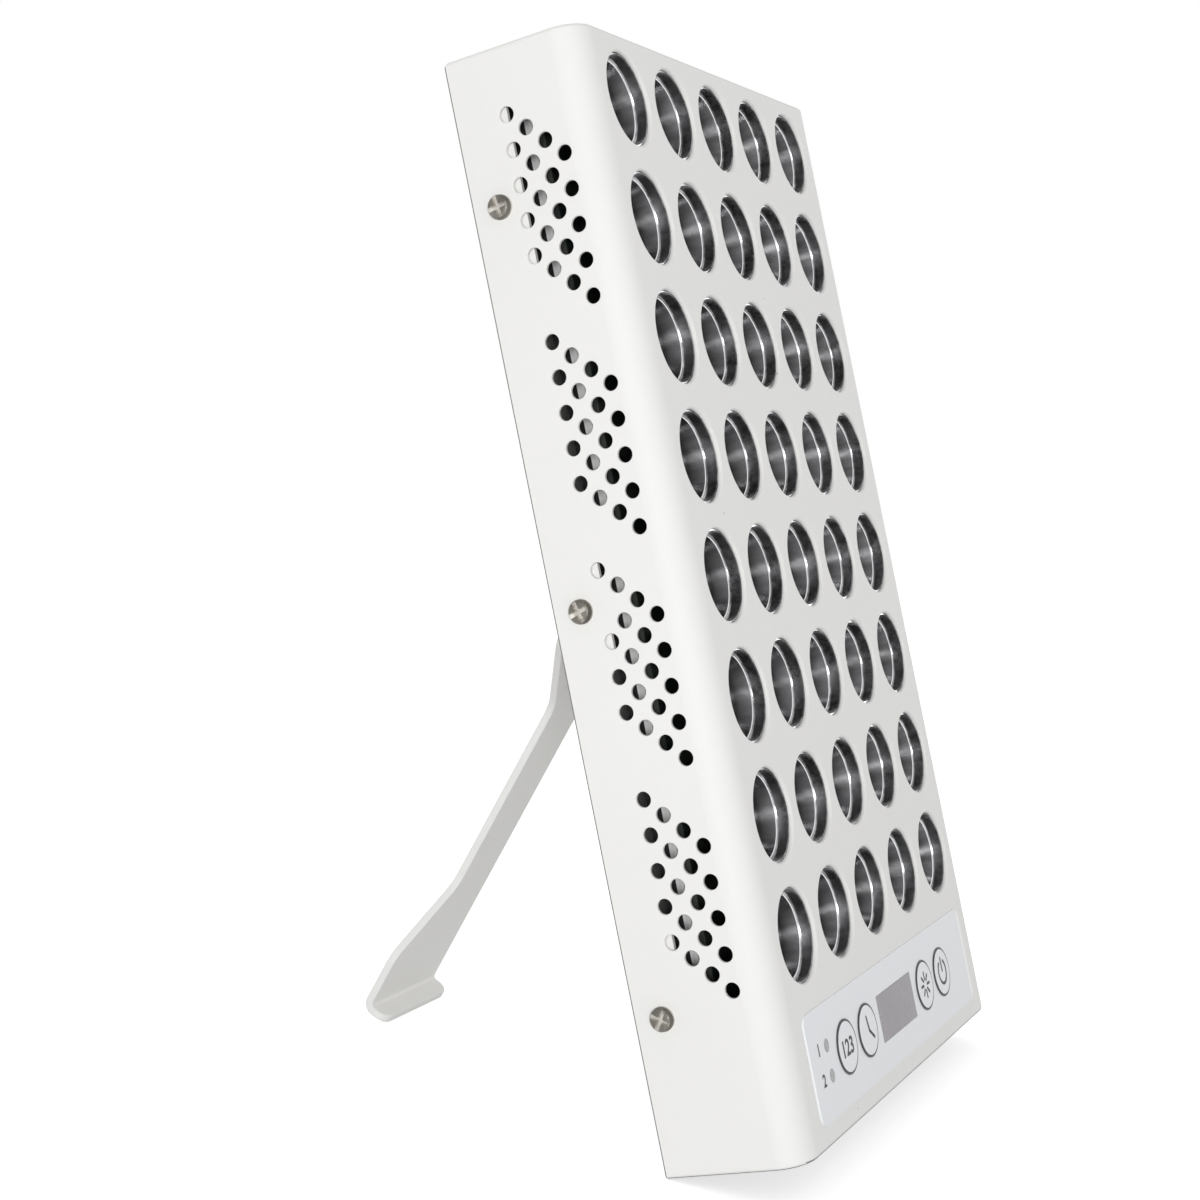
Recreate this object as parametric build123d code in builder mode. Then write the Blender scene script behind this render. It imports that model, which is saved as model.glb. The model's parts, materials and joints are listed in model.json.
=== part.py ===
"""Light therapy lamp: a tabletop LED panel that leans back on one folding leg.

Everything in the case is laid out in the case's own frame: u to the right as seen from the front,
v up the case from its bottom, w from the rear face out through the front face.  That frame leans
back about its rear bottom edge until the toe of the opened leg meets the table.
Millimetres, +Z up, the front faces -Y, and the origin is on the table under the middle.
"""

import os
from math import atan2, cos, radians, sin

from build123d import *

os.makedirs("parts", exist_ok=True)

# ---------------------------------------------------------------- driving dimensions
# case
case_width = 206.0
case_height = 355.6
case_depth = 47.6
sheet = 1.5                     # folded steel of the case and of its rear cover
overcut = 1.0                   # how far cutters start outside what they cut
side_bend_radius = 10.5         # outside radius of the two long front bends
edge_radius = 1.5               # dressed edges round the top and the bottom
top_rear_radius = 2.0
cover_gap = 0.2                 # all round the rear cover

# light field
led_columns = 5
led_rows = 8
led_pitch_u = 36.8
top_row_below_top = 20.85
bottom_row_height = 65.6        # clears the control panel
opening_diameter = 30.3
cup_diameter = 31.2
cup_collar_bore = 29.2
cup_rim_bore = 27.6             # mouth of the bowl, inside the narrow rim
cup_rim_depth = 3.7             # rim behind the front sheet
cup_shoulder = 10.0             # straight outside of the cup, behind the sheet
cup_height = 21.8               # front sheet to LED board
cup_foot_diameter = 14.0
cup_throat = 8.0                # clears the emitter's corners
bowl_bulge = 2.6                # of the bowl's arc, out from its chord
emitter_size = 5.0
emitter_height = 0.8
board_thickness = 1.6
board_margin = 16.5             # beyond the centres of the top and bottom rows
board_side_gap = 0.5            # past the side bends
board_corner = 2.5
stud_diameter = 7.0
stud_thread = 4.0
stud_clearance = 0.25
stud_nut_diameter = 7.0
stud_nut_height = 3.2
nut_thread_gap = 0.05

# heat sink
sink_base = 3.0
fin_thickness = 1.6
fin_pitch = 13.6
fin_edge_margin = 3.0
fin_fan_gap = 0.7

# side vents: four slanted clusters on each side
vent_diameter = 5.0
vent_clusters = 4
vent_rows = 5
vent_columns = 4
vent_top = 21.6                 # first hole below the top
vent_rear_column = 29.6         # rearmost column behind the front face
vent_column_pitch = 5.6
vent_pitch = 11.2
vent_bottom = 56.1              # last hole above the bottom

# case screws, on each side
side_screws = 3
side_screw_diameter = 4.0
side_screw_hole = 4.5
side_screw_head = 8.0
side_screw_head_height = 2.8
side_screw_head_round = 1.6
side_screw_length = 7.5
side_screw_depth = 37.7         # behind the front face
side_screw_top = 48.9
side_screw_bottom = 49.9
tab_reach = 17.6                # how far forward the cover's side tabs run
tab_lengths = (76.0, 35.0, 66.0)
tab_shifts = (-4.1, 0.0, -6.3)  # middle of each tab above its screw
side_nut_diameter = 8.0
side_nut_height = 3.0

# control panel
panel_height = 24.5             # middle of the panel above the case's bottom
overlay_width = 170.8
overlay_height = 35.0
overlay_thickness = 0.6
overlay_corner = 4.0
outer_button_offset = 53.2      # of the mode and power buttons from the middle
inner_button_offset = 32.1      # of the timer and brightness buttons
button_diameter = 16.4
button_ring_gap = 0.45          # button to overlay
button_hole_gap = 0.2           # button to case
button_proud = 0.5              # in front of the overlay
button_edge = 0.3
button_flange = 19.5
button_flange_thickness = 1.0
button_travel = 0.8
stem_diameter = 3.4
stem_gap = 0.05
stem_entry = 0.3                # stem already in its switch at rest
window_width = 37.4
window_height = 15.8
window_ledge = 1.5
inset_gap = 0.1                 # window and indicators to what they sit in
indicator_offset = -70.0
indicator_pitch = 9.6
indicator_diameter = 4.2
indicator_stem = 3.0
control_board_depth = 8.0       # board behind the front face
control_board_width = 164.0
control_board_height = 34.0
control_board_thickness = 1.6
display_inset = 1.0             # display smaller than the window's opening, each way
switch_size = 6.2
switch_height = 3.4
standoff_diameter = 5.0
standoff_inset = 4.0            # from the board's edges
board_screw_diameter = 2.5
board_screw_head = 4.8
board_screw_head_height = 1.6
board_screw_length = 5.0

# fans
fan_size = 80.0
fan_depth = 10.0
fan_corner = 5.0
fan_bore = 75.0
fan_tip_gap = 0.8
fan_hub = 30.0
lower_fan_height = 108.0
upper_fan_below_top = 67.6
fan_hole_pitch = 71.5
fan_hole = 4.3
fan_screw_diameter = 4.1
fan_screw_head = 7.6
fan_screw_head_height = 1.8
fan_screw_length = 8.0
fan_arm_count = 3
fan_arm_width = 4.0
fan_arm_depth = 2.2
fan_running_gap = 0.8           # rotor to cover and to arms
fan_shaft = 3.0
fan_shaft_gap = 0.03
blade_count = 7
blade_thickness = 1.2
blade_root = (12.0, 26.0)       # chord, pitch angle
blade_tip = (15.5, 20.0)
grille_slot = 4.0
grille_radii = (18.5, 26.0, 33.5)
grille_arc = 74.0               # degrees, of each slot's middle line
grille_slots_per_ring = 4

# driver and power inlet
driver_side_gap = 15.0          # from the case's left side
driver_inlet_gap = 12.5
driver_height = 41.0
driver_depth = 27.0
driver_bottom = 4.5
driver_screw_inset = 9.0
driver_screw_diameter = 3.0
driver_screw_head = 5.6
driver_screw_head_height = 1.6
inlet_side_gap = 35.0           # middle of the inlet from the case's right side
inlet_v = 27.0
inlet_width = 26.8
inlet_height = 19.8
inlet_depth = 16.0
inlet_flange = 2.1              # flange beyond the body, each way
inlet_flange_thickness = 2.4
inlet_wall = 1.7
inlet_floor = 2.5
inlet_corner = 4.0
inlet_gap = 0.2
contact_width = 4.0
contact_thickness = 2.0
contact_length = 9.5
contact_pitch = 7.0
contact_stagger = 3.5

# folding leg and its hinge
hinge_below_top = 153.3
hinge_standoff = 5.0            # pin behind the rear face
leg_right = 20.0
leg_top_width = 50.0
leg_foot_width = 47.0
leg_waist_width = 25.0
leg_thickness = 3.0
leg_length = 206.5              # pin to the inside of the toe
leg_face_offset = 0.5           # front face of the leg behind the pin
leg_shoulder = 45.0             # distances from the pin down the leg
leg_waist_top = 76.0
leg_waist_bottom = 156.4
leg_foot_top = 184.3
leg_outline_round = 13.0
toe_depth = 8.0
toe_bend_radius = 1.5
toe_corner = 5.0
leg_open_angle = 42.9
leg_stop_gap = 0.04
knuckle_radius = 3.2
hinge_pin_diameter = 3.4
hinge_pin_gap = 0.05
hinge_pin_head = 5.6
hinge_pin_head_thickness = 1.2
ear_thickness = 2.0
ear_gap = 0.3
ear_radius = 4.0
bracket_thickness = 1.5
bracket_above = 14.0            # plate above and below the pin
bracket_below = 15.0
bracket_lip = 11.0              # plate beyond each ear, for the rivets
bracket_corner = 3.0
rivet_diameter = 3.2
rivet_head = 6.0
rivet_head_height = 1.2
rivet_inset = 5.5

# ---------------------------------------------------------------- the leaning frames
half_width = case_width / 2
hinge_height = case_height - hinge_below_top
open_angle = radians(leg_open_angle)
leg_back = leg_face_offset + leg_thickness
leg_end = leg_length + leg_thickness
toe_tip = leg_face_offset - toe_depth
outer_bend = toe_bend_radius + leg_thickness


def behind_and_up(normal, along):
    """Distance behind the rear face and height up the case of a point on the opened leg."""
    behind = hinge_standoff + normal * cos(open_angle) + along * sin(open_angle)
    up = hinge_height + normal * sin(open_angle) - along * cos(open_angle)
    return behind, up


toe_behind, toe_up = behind_and_up(toe_tip, leg_end)
lean = atan2(toe_up, toe_behind)
bend_behind, bend_up = behind_and_up(leg_back - outer_bend, leg_end - outer_bend)
rearmost = bend_behind * cos(lean) + bend_up * sin(lean) + outer_bend
foremost = -case_depth * cos(lean)

case_frame = Plane(
    origin=(0, -(rearmost + foremost) / 2, 0), x_dir=(1, 0, 0), z_dir=(0, -cos(lean), sin(lean))
)
up_case = case_frame.y_dir
out_front = case_frame.z_dir
plan = Plane(origin=case_frame.origin, x_dir=(1, 0, 0), z_dir=up_case)      # sketches in (u, -w)


def at_depth(depth):
    """Plane behind the front face, facing forward; sketches on it are in (u, v)."""
    return case_frame.offset(case_depth - depth)


def left_side(u):
    """Plane square to u, facing left; sketches on it are in (w, v)."""
    return Plane(origin=case_frame.from_local_coords((u, 0, 0)), x_dir=out_front, z_dir=(-1, 0, 0))


def save(piece, name):
    """Label the piece and write its STEP file."""
    piece.label = name
    export_step(piece, f"parts/{name}.step")


# ---------------------------------------------------------------- places shared by several pieces
inner_half = half_width - sheet
cover_half = inner_half - cover_gap
led_pitch_v = (case_height - top_row_below_top - bottom_row_height) / (led_rows - 1)
led_middle = (case_height - top_row_below_top + bottom_row_height) / 2
led_grid = [
    (led_pitch_u * (i - (led_columns - 1) / 2), led_middle + led_pitch_v * (j - (led_rows - 1) / 2))
    for i in range(led_columns)
    for j in range(led_rows)
]
stud_grid = [
    (side * (led_columns / 2 - 1) * led_pitch_u, led_middle + led_pitch_v * (1 + 2 * k - led_rows / 2))
    for side in (-1, 1)
    for k in range(led_rows // 2)
]
board_width = 2 * (half_width - side_bend_radius - board_side_gap)
board_height = (led_rows - 1) * led_pitch_v + 2 * board_margin
board_front = sheet + cup_height
sink_front = board_front + board_thickness
sink_back = sink_front + sink_base
cover_front = case_depth - sheet
fin_height = cover_front - fan_depth - fin_fan_gap - sink_back

screw_w = case_depth - side_screw_depth
side_screw_pitch = (case_height - side_screw_top - side_screw_bottom) / (side_screws - 1)
screw_heights = [case_height - side_screw_top - i * side_screw_pitch for i in range(side_screws)]
vent_cluster_height = (vent_rows - 1 + (vent_columns - 1) / 2) * vent_pitch
vent_cluster_pitch = (case_height - vent_top - vent_bottom - vent_cluster_height) / (vent_clusters - 1)
vent_rear_w = case_depth - vent_rear_column
vent_points = [
    (
        vent_rear_w + column * vent_column_pitch,
        case_height - vent_top - cluster * vent_cluster_pitch - (row + column / 2) * vent_pitch,
    )
    for cluster in range(vent_clusters)
    for row in range(vent_rows)
    for column in range(vent_columns)
    # the rear column leaves out the hole that would sit beside a screw
    if column > 0
    or min(
        abs(case_height - vent_top - cluster * vent_cluster_pitch - row * vent_pitch - height)
        for height in screw_heights
    ) > vent_diameter / 2
]

indicator_points = [
    (indicator_offset, panel_height + side * indicator_pitch / 2) for side in (-1, 1)
]
button_offsets = {
    "mode": -outer_button_offset,
    "timer": -inner_button_offset,
    "brightness": inner_button_offset,
    "power": outer_button_offset,
}
button_points = [(u, panel_height) for u in button_offsets.values()]
standoff_points = [
    (side * (control_board_width / 2 - standoff_inset), panel_height + rise)
    for side in (-1, 1)
    for rise in (standoff_inset - control_board_height / 2, control_board_height / 2 - standoff_inset)
]
display_width = window_width - 2 * (window_ledge + display_inset)
display_height = window_height - 2 * (window_ledge + display_inset)
fan_heights = (lower_fan_height, case_height - upper_fan_below_top)
fan_points = [(0, height) for height in fan_heights]
fan_screw_points = [
    (side_u * fan_hole_pitch / 2, height + side_v * fan_hole_pitch / 2)
    for height in fan_heights
    for side_u in (-1, 1)
    for side_v in (-1, 1)
]
inlet_u = half_width - inlet_side_gap
driver_left = driver_side_gap - half_width
driver_length = inlet_u - inlet_width / 2 - inlet_flange - driver_inlet_gap - driver_left
driver_screw_points = [
    (driver_left + inset, driver_bottom + driver_height / 2)
    for inset in (driver_screw_inset, driver_length - driver_screw_inset)
]
leg_middle = leg_right - leg_top_width / 2
ear_inner = leg_top_width / 2 + ear_gap
ear_outer = ear_inner + ear_thickness
bracket_half = ear_outer + bracket_lip
rivet_points = [
    (leg_middle + side * (bracket_half - rivet_inset), hinge_height + rise)
    for side in (-1, 1)
    for rise in (bracket_above - rivet_inset, rivet_inset - bracket_below)
]

# ---------------------------------------------------------------- front case
with BuildPart() as front_case:
    with BuildSketch(plan) as outer_plan:
        with Locations((0, -case_depth / 2)):
            Rectangle(case_width, case_depth)
        fillet(outer_plan.vertices().group_by(Axis.Y)[0], side_bend_radius)
    extrude(amount=case_height)
    ends = front_case.faces().sort_by(Axis(case_frame.origin, up_case))
    rim = [edge for end in (ends[0], ends[-1]) for edge in end.edges().sort_by(Axis(case_frame.origin, out_front))[1:]]
    fillet(rim, edge_radius)
    with BuildSketch(left_side(-half_width - overcut)) as side_view:
        with Locations((case_depth / 2, case_height / 2)):
            Rectangle(case_depth, case_height)
        fillet(side_view.vertices().group_by(Axis.X)[0].sort_by(Axis.Y)[-1], top_rear_radius)
    extrude(amount=-(case_width + 2 * overcut), mode=Mode.INTERSECT)
    with BuildSketch(plan.offset(sheet)) as inner_plan:
        with Locations((0, (overcut - cover_front) / 2)):
            Rectangle(2 * inner_half, cover_front + overcut)
        fillet(inner_plan.vertices().group_by(Axis.Y)[0], side_bend_radius - sheet)
    extrude(amount=case_height - 2 * sheet, mode=Mode.SUBTRACT)
    with BuildSketch(at_depth(-overcut)):
        with Locations(*led_grid):
            Circle(opening_diameter / 2)
        with Locations(*button_points):
            Circle(button_diameter / 2 + button_hole_gap)
        with Locations((0, panel_height)):
            Rectangle(window_width - 2 * window_ledge, window_height - 2 * window_ledge)
        with Locations(*indicator_points):
            Circle(indicator_stem / 2 + inset_gap)
    extrude(amount=-(sheet + 2 * overcut), mode=Mode.SUBTRACT)
    with BuildSketch(left_side(-half_width - overcut)):
        with Locations(*vent_points):
            Circle(vent_diameter / 2)
        with Locations(*[(screw_w, height) for height in screw_heights]):
            Circle(side_screw_hole / 2)
    extrude(amount=-(case_width + 2 * overcut), mode=Mode.SUBTRACT)
save(front_case.part, "front_case")

# ---------------------------------------------------------------- reflector cups and emitters
with BuildPart() as one_cup:
    with BuildSketch(Plane.XZ):
        with BuildLine():
            bowl_mouth = (cup_rim_bore / 2, -cup_rim_depth)
            bowl_floor = (cup_throat / 2, -cup_height)
            Polyline(
                bowl_mouth,
                (cup_collar_bore / 2, -cup_rim_depth),
                (cup_collar_bore / 2, 0),
                (cup_diameter / 2, 0),
                (cup_diameter / 2, -cup_shoulder),
                (cup_foot_diameter / 2, -cup_height),
                bowl_floor,
            )
            SagittaArc(bowl_mouth, bowl_floor, bowl_bulge)
        make_face()
    revolve(axis=Axis.Z)
with BuildPart() as reflector_cups:
    with Locations(at_depth(sheet)):
        with Locations(*led_grid):
            add(one_cup.part)
save(reflector_cups.part, "reflector_cups")

with BuildPart() as emitters:
    with BuildSketch(at_depth(board_front)):
        with Locations(*led_grid):
            Rectangle(emitter_size, emitter_size)
    extrude(amount=emitter_height)
save(emitters.part, "led_emitters")

with BuildPart() as led_board:
    with BuildSketch(at_depth(board_front)):
        with Locations((0, led_middle)):
            RectangleRounded(board_width, board_height, board_corner)
        with Locations(*stud_grid):
            Circle(stud_thread / 2 + stud_clearance, mode=Mode.SUBTRACT)
    extrude(amount=-board_thickness)
save(led_board.part, "led_board")

# ---------------------------------------------------------------- heat sink, hung on the case's studs
fin_span = board_width - 2 * fin_edge_margin
fin_count = 2 * int((fin_span / fin_pitch + 1) // 2)      # always a gap in the middle
with BuildPart() as heat_sink:
    with BuildSketch(at_depth(sink_front)):
        with Locations((0, led_middle)):
            Rectangle(board_width, board_height)
        with Locations(*stud_grid):
            Circle(stud_thread / 2 + stud_clearance, mode=Mode.SUBTRACT)
    extrude(amount=-sink_base)
    with BuildSketch(at_depth(sink_back)):
        with Locations((0, led_middle)):
            with GridLocations(fin_pitch, 1, fin_count, 1):
                Rectangle(fin_thickness, board_height)
    extrude(amount=-fin_height)
save(heat_sink.part, "heat_sink")

with BuildPart() as mounting_studs:
    with BuildSketch(at_depth(sheet)):
        with Locations(*stud_grid):
            Circle(stud_diameter / 2)
    extrude(amount=-(board_front - sheet))
    with BuildSketch(at_depth(board_front)):
        with Locations(*stud_grid):
            Circle(stud_thread / 2)
    extrude(amount=-(sink_back + stud_nut_height - board_front))
save(mounting_studs.part, "mounting_studs")

with BuildPart() as stud_nuts:
    with BuildSketch(at_depth(sink_back)):
        with Locations(*stud_grid):
            RegularPolygon(stud_nut_diameter / 2, 6)
            Circle(stud_thread / 2 + nut_thread_gap, mode=Mode.SUBTRACT)
    extrude(amount=-stud_nut_height)
save(stud_nuts.part, "stud_nuts")

# ---------------------------------------------------------------- control panel
with BuildPart() as control_overlay:
    with BuildSketch(at_depth(0)):
        with Locations((0, panel_height)):
            RectangleRounded(overlay_width, overlay_height, overlay_corner)
            Rectangle(window_width + 2 * inset_gap, window_height + 2 * inset_gap, mode=Mode.SUBTRACT)
        with Locations(*button_points):
            Circle(button_diameter / 2 + button_ring_gap, mode=Mode.SUBTRACT)
        with Locations(*indicator_points):
            Circle(indicator_diameter / 2 + inset_gap, mode=Mode.SUBTRACT)
    extrude(amount=overlay_thickness)
save(control_overlay.part, "control_overlay")

with BuildPart() as display_window:
    with BuildSketch(at_depth(0)):
        with Locations((0, panel_height)):
            Rectangle(window_width, window_height)
    extrude(amount=overlay_thickness)
save(display_window.part, "display_window")

with BuildPart() as indicator_pipes:
    with BuildSketch(at_depth(0)):
        with Locations(*indicator_points):
            Circle(indicator_diameter / 2)
    extrude(amount=overlay_thickness)
    with BuildSketch(at_depth(0)):
        with Locations(*indicator_points):
            Circle(indicator_stem / 2)
    extrude(amount=-control_board_depth)
save(indicator_pipes.part, "indicator_pipes")

switch_front = control_board_depth - switch_height
stem_end = switch_front + stem_entry
for button_name, button_u in button_offsets.items():
    with BuildPart() as button:
        with BuildSketch(at_depth(sheet)):
            with Locations((button_u, panel_height)):
                Circle(button_diameter / 2)
        extrude(amount=sheet + overlay_thickness + button_proud)
        fillet(button.faces().sort_by(Axis(case_frame.origin, out_front))[-1].edges(), button_edge)
        with BuildSketch(at_depth(sheet)):
            with Locations((button_u, panel_height)):
                Circle(button_flange / 2)
        extrude(amount=-button_flange_thickness)
        with BuildSketch(at_depth(sheet)):
            with Locations((button_u, panel_height)):
                Circle(stem_diameter / 2)
        extrude(amount=-(stem_end - sheet))
    save(button.part, f"{button_name}_button")

with BuildPart() as tact_switches:
    with BuildSketch(at_depth(switch_front)):
        with Locations(*button_points):
            Rectangle(switch_size, switch_size)
    extrude(amount=-switch_height)
    with BuildSketch(at_depth(switch_front)):
        with Locations(*button_points):
            Circle(stem_diameter / 2 + stem_gap)
    extrude(amount=-(stem_entry + 2 * button_travel), mode=Mode.SUBTRACT)
save(tact_switches.part, "tact_switches")

with BuildPart() as display_module:
    with BuildSketch(at_depth(sheet)):
        with Locations((0, panel_height)):
            Rectangle(display_width, display_height)
    extrude(amount=-(control_board_depth - sheet))
save(display_module.part, "display_module")

with BuildPart() as control_board:
    with BuildSketch(at_depth(control_board_depth)):
        with Locations((0, panel_height)):
            Rectangle(control_board_width, control_board_height)
        with Locations(*standoff_points):
            Circle(board_screw_diameter / 2 + inset_gap, mode=Mode.SUBTRACT)
    extrude(amount=-control_board_thickness)
save(control_board.part, "control_board")

with BuildPart() as board_standoffs:
    with BuildSketch(at_depth(sheet)):
        with Locations(*standoff_points):
            Circle(standoff_diameter / 2)
    extrude(amount=-(control_board_depth - sheet))
    with BuildSketch(at_depth(control_board_depth)):
        with Locations(*standoff_points):
            Circle(board_screw_diameter / 2 + nut_thread_gap)
    extrude(amount=board_screw_length, mode=Mode.SUBTRACT)
save(board_standoffs.part, "board_standoffs")

with BuildPart() as board_screws:
    with BuildSketch(at_depth(control_board_depth + control_board_thickness)):
        with Locations(*standoff_points):
            Circle(board_screw_head / 2)
    extrude(amount=-board_screw_head_height)
    with BuildSketch(at_depth(control_board_depth + control_board_thickness)):
        with Locations(*standoff_points):
            Circle(board_screw_diameter / 2)
    extrude(amount=board_screw_length)
save(board_screws.part, "board_screws")

# ---------------------------------------------------------------- rear cover with tabs and grilles
inlet_middle = (inlet_u, inlet_v)
slot_arcs = [CenterArc((0, 0), radius, -grille_arc / 2, grille_arc) for radius in grille_radii]
with BuildPart() as rear_cover:
    with BuildSketch(case_frame):
        with Locations((0, case_height / 2)):
            Rectangle(2 * cover_half, case_height - 2 * (sheet + cover_gap))
        for slot_arc in slot_arcs:
            with Locations(*fan_points):
                with PolarLocations(0, grille_slots_per_ring, start_angle=45):
                    SlotArc(slot_arc, grille_slot, mode=Mode.SUBTRACT)
        with Locations(*fan_screw_points):
            Circle(fan_hole / 2, mode=Mode.SUBTRACT)
        with Locations(*driver_screw_points):
            Circle(driver_screw_diameter / 2 + inset_gap, mode=Mode.SUBTRACT)
        with Locations(*rivet_points):
            Circle(rivet_diameter / 2 + inset_gap, mode=Mode.SUBTRACT)
        with Locations(inlet_middle):
            Rectangle(inlet_width + 2 * inlet_gap, inlet_height + 2 * inlet_gap, mode=Mode.SUBTRACT)
    extrude(amount=sheet)
    for side in (-1, 1):
        with BuildSketch(case_frame):
            for height, length, shift in zip(screw_heights, tab_lengths, tab_shifts):
                with Locations((side * (cover_half - sheet / 2), height + shift)):
                    Rectangle(sheet, length)
        extrude(amount=tab_reach)
    with BuildSketch(left_side(-cover_half - 1)):
        with Locations(*[(screw_w, height) for height in screw_heights]):
            Circle(side_screw_hole / 2)
    extrude(amount=-2 * (cover_half + 1), mode=Mode.SUBTRACT)
save(rear_cover.part, "rear_cover")

with BuildPart() as side_screw_set:
    with BuildSketch(left_side(-half_width)):
        with Locations(*[(screw_w, height) for height in screw_heights]):
            Circle(side_screw_head / 2)
    extrude(amount=side_screw_head_height)
    fillet(side_screw_set.edges().group_by(Axis.X)[0], side_screw_head_round)
    with BuildSketch(left_side(-half_width)):
        with Locations(*[(screw_w, height) for height in screw_heights]):
            Circle(side_screw_diameter / 2)
    extrude(amount=-side_screw_length)
    mirror(about=Plane.YZ)
save(side_screw_set.part, "side_screws")

with BuildPart() as side_nuts:
    with BuildSketch(left_side(-(cover_half - sheet))):
        with Locations(*[(screw_w, height) for height in screw_heights]):
            Circle(side_nut_diameter / 2)
            Circle(side_screw_diameter / 2 + nut_thread_gap, mode=Mode.SUBTRACT)
    extrude(amount=-side_nut_height)
    mirror(about=Plane.YZ)
save(side_nuts.part, "side_nuts")

# ---------------------------------------------------------------- fans
arm_front = case_frame.offset(sheet + fan_depth - fan_arm_depth)
with BuildPart() as fan_frames:
    with BuildSketch(case_frame.offset(sheet)):
        with Locations(*fan_points):
            RectangleRounded(fan_size, fan_size, fan_corner)
            Circle(fan_bore / 2, mode=Mode.SUBTRACT)
        with Locations(*fan_screw_points):
            Circle(fan_hole / 2, mode=Mode.SUBTRACT)
    extrude(amount=fan_depth)
    with BuildSketch(arm_front):
        with Locations(*fan_points):
            Circle(fan_hub / 2)
            with PolarLocations(fan_bore / 4, fan_arm_count, start_angle=90):
                Rectangle(fan_bore / 2 + 1, fan_arm_width)
    extrude(amount=fan_arm_depth)
    with BuildSketch(arm_front):
        with Locations(*fan_points):
            Circle(fan_shaft / 2)
    extrude(amount=-(fan_depth - fan_arm_depth - 2 * fan_running_gap))
save(fan_frames.part, "fan_frames")

rotor_depth = fan_depth - fan_arm_depth - 2 * fan_running_gap
rotor_radius = fan_bore / 2 - fan_tip_gap
for fan_name, fan_point in zip(("lower", "upper"), fan_points):
    with BuildPart() as rotor:
        rotor_plane = Plane(
            origin=case_frame.from_local_coords((*fan_point, sheet + fan_running_gap)),
            x_dir=(1, 0, 0),
            z_dir=out_front,
        )
        for blade in range(blade_count):
            turn = radians(360 * blade / blade_count)
            spoke = rotor_plane.x_dir * cos(turn) + rotor_plane.y_dir * sin(turn)
            outward = Plane(origin=rotor_plane.origin, x_dir=out_front.cross(spoke), z_dir=spoke)
            for reach, (chord, pitch) in ((fan_hub / 2 - 2, blade_root), (rotor_radius + 2, blade_tip)):
                with BuildSketch(outward.offset(reach)):
                    with Locations((0, rotor_depth / 2)):
                        Rectangle(chord, blade_thickness, rotation=pitch)
            loft()
        with BuildSketch(rotor_plane):
            Circle(rotor_radius)
        extrude(amount=rotor_depth, mode=Mode.INTERSECT)
        with BuildSketch(rotor_plane):
            Circle(fan_hub / 2)
        extrude(amount=rotor_depth)
        with BuildSketch(rotor_plane.offset(rotor_depth)):
            Circle(fan_shaft / 2 + fan_shaft_gap)
        extrude(amount=-(rotor_depth - fan_running_gap), mode=Mode.SUBTRACT)
    save(rotor.part, f"{fan_name}_fan_rotor")

with BuildPart() as fan_screws:
    with BuildSketch(case_frame):
        with Locations(*fan_screw_points):
            Circle(fan_screw_head / 2)
    extrude(amount=-fan_screw_head_height)
    with BuildSketch(case_frame):
        with Locations(*fan_screw_points):
            Circle(fan_screw_diameter / 2)
    extrude(amount=fan_screw_length)
save(fan_screws.part, "fan_screws")

# ---------------------------------------------------------------- LED driver and power inlet
with BuildPart() as led_driver:
    with BuildSketch(case_frame.offset(sheet)):
        with Locations((driver_left + driver_length / 2, driver_bottom + driver_height / 2)):
            Rectangle(driver_length, driver_height)
    extrude(amount=driver_depth)
    with BuildSketch(case_frame.offset(sheet)):
        with Locations(*driver_screw_points):
            Circle(driver_screw_diameter / 2 + nut_thread_gap)
    extrude(amount=driver_screw_inset, mode=Mode.SUBTRACT)
save(led_driver.part, "led_driver")

with BuildPart() as driver_screws:
    with BuildSketch(case_frame):
        with Locations(*driver_screw_points):
            Circle(driver_screw_head / 2)
    extrude(amount=-driver_screw_head_height)
    with BuildSketch(case_frame):
        with Locations(*driver_screw_points):
            Circle(driver_screw_diameter / 2)
    extrude(amount=driver_screw_inset)
save(driver_screws.part, "driver_screws")

with BuildPart() as power_inlet:
    with BuildSketch(case_frame.offset(-inlet_flange_thickness)):
        with Locations(inlet_middle):
            RectangleRounded(inlet_width + 2 * inlet_flange, inlet_height + 2 * inlet_flange, 2)
    extrude(amount=inlet_flange_thickness)
    with BuildSketch(case_frame):
        with Locations(inlet_middle):
            Rectangle(inlet_width, inlet_height)
    extrude(amount=inlet_depth)
    with BuildSketch(case_frame.offset(-inlet_flange_thickness)):
        with Locations(inlet_middle):
            RectangleRounded(inlet_width - 2 * inlet_wall, inlet_height - 2 * inlet_wall, inlet_corner)
    extrude(amount=inlet_flange_thickness + inlet_depth - inlet_floor, mode=Mode.SUBTRACT)
save(power_inlet.part, "power_inlet")

with BuildPart() as inlet_contacts:
    with BuildSketch(case_frame.offset(inlet_depth - inlet_floor)):
        for step in (-1, 0, 1):
            with Locations((inlet_u + step * contact_pitch, inlet_v + contact_stagger * (0.5 - abs(step)))):
                Rectangle(contact_thickness, contact_width)
    extrude(amount=-contact_length)
save(inlet_contacts.part, "inlet_contacts")

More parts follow.
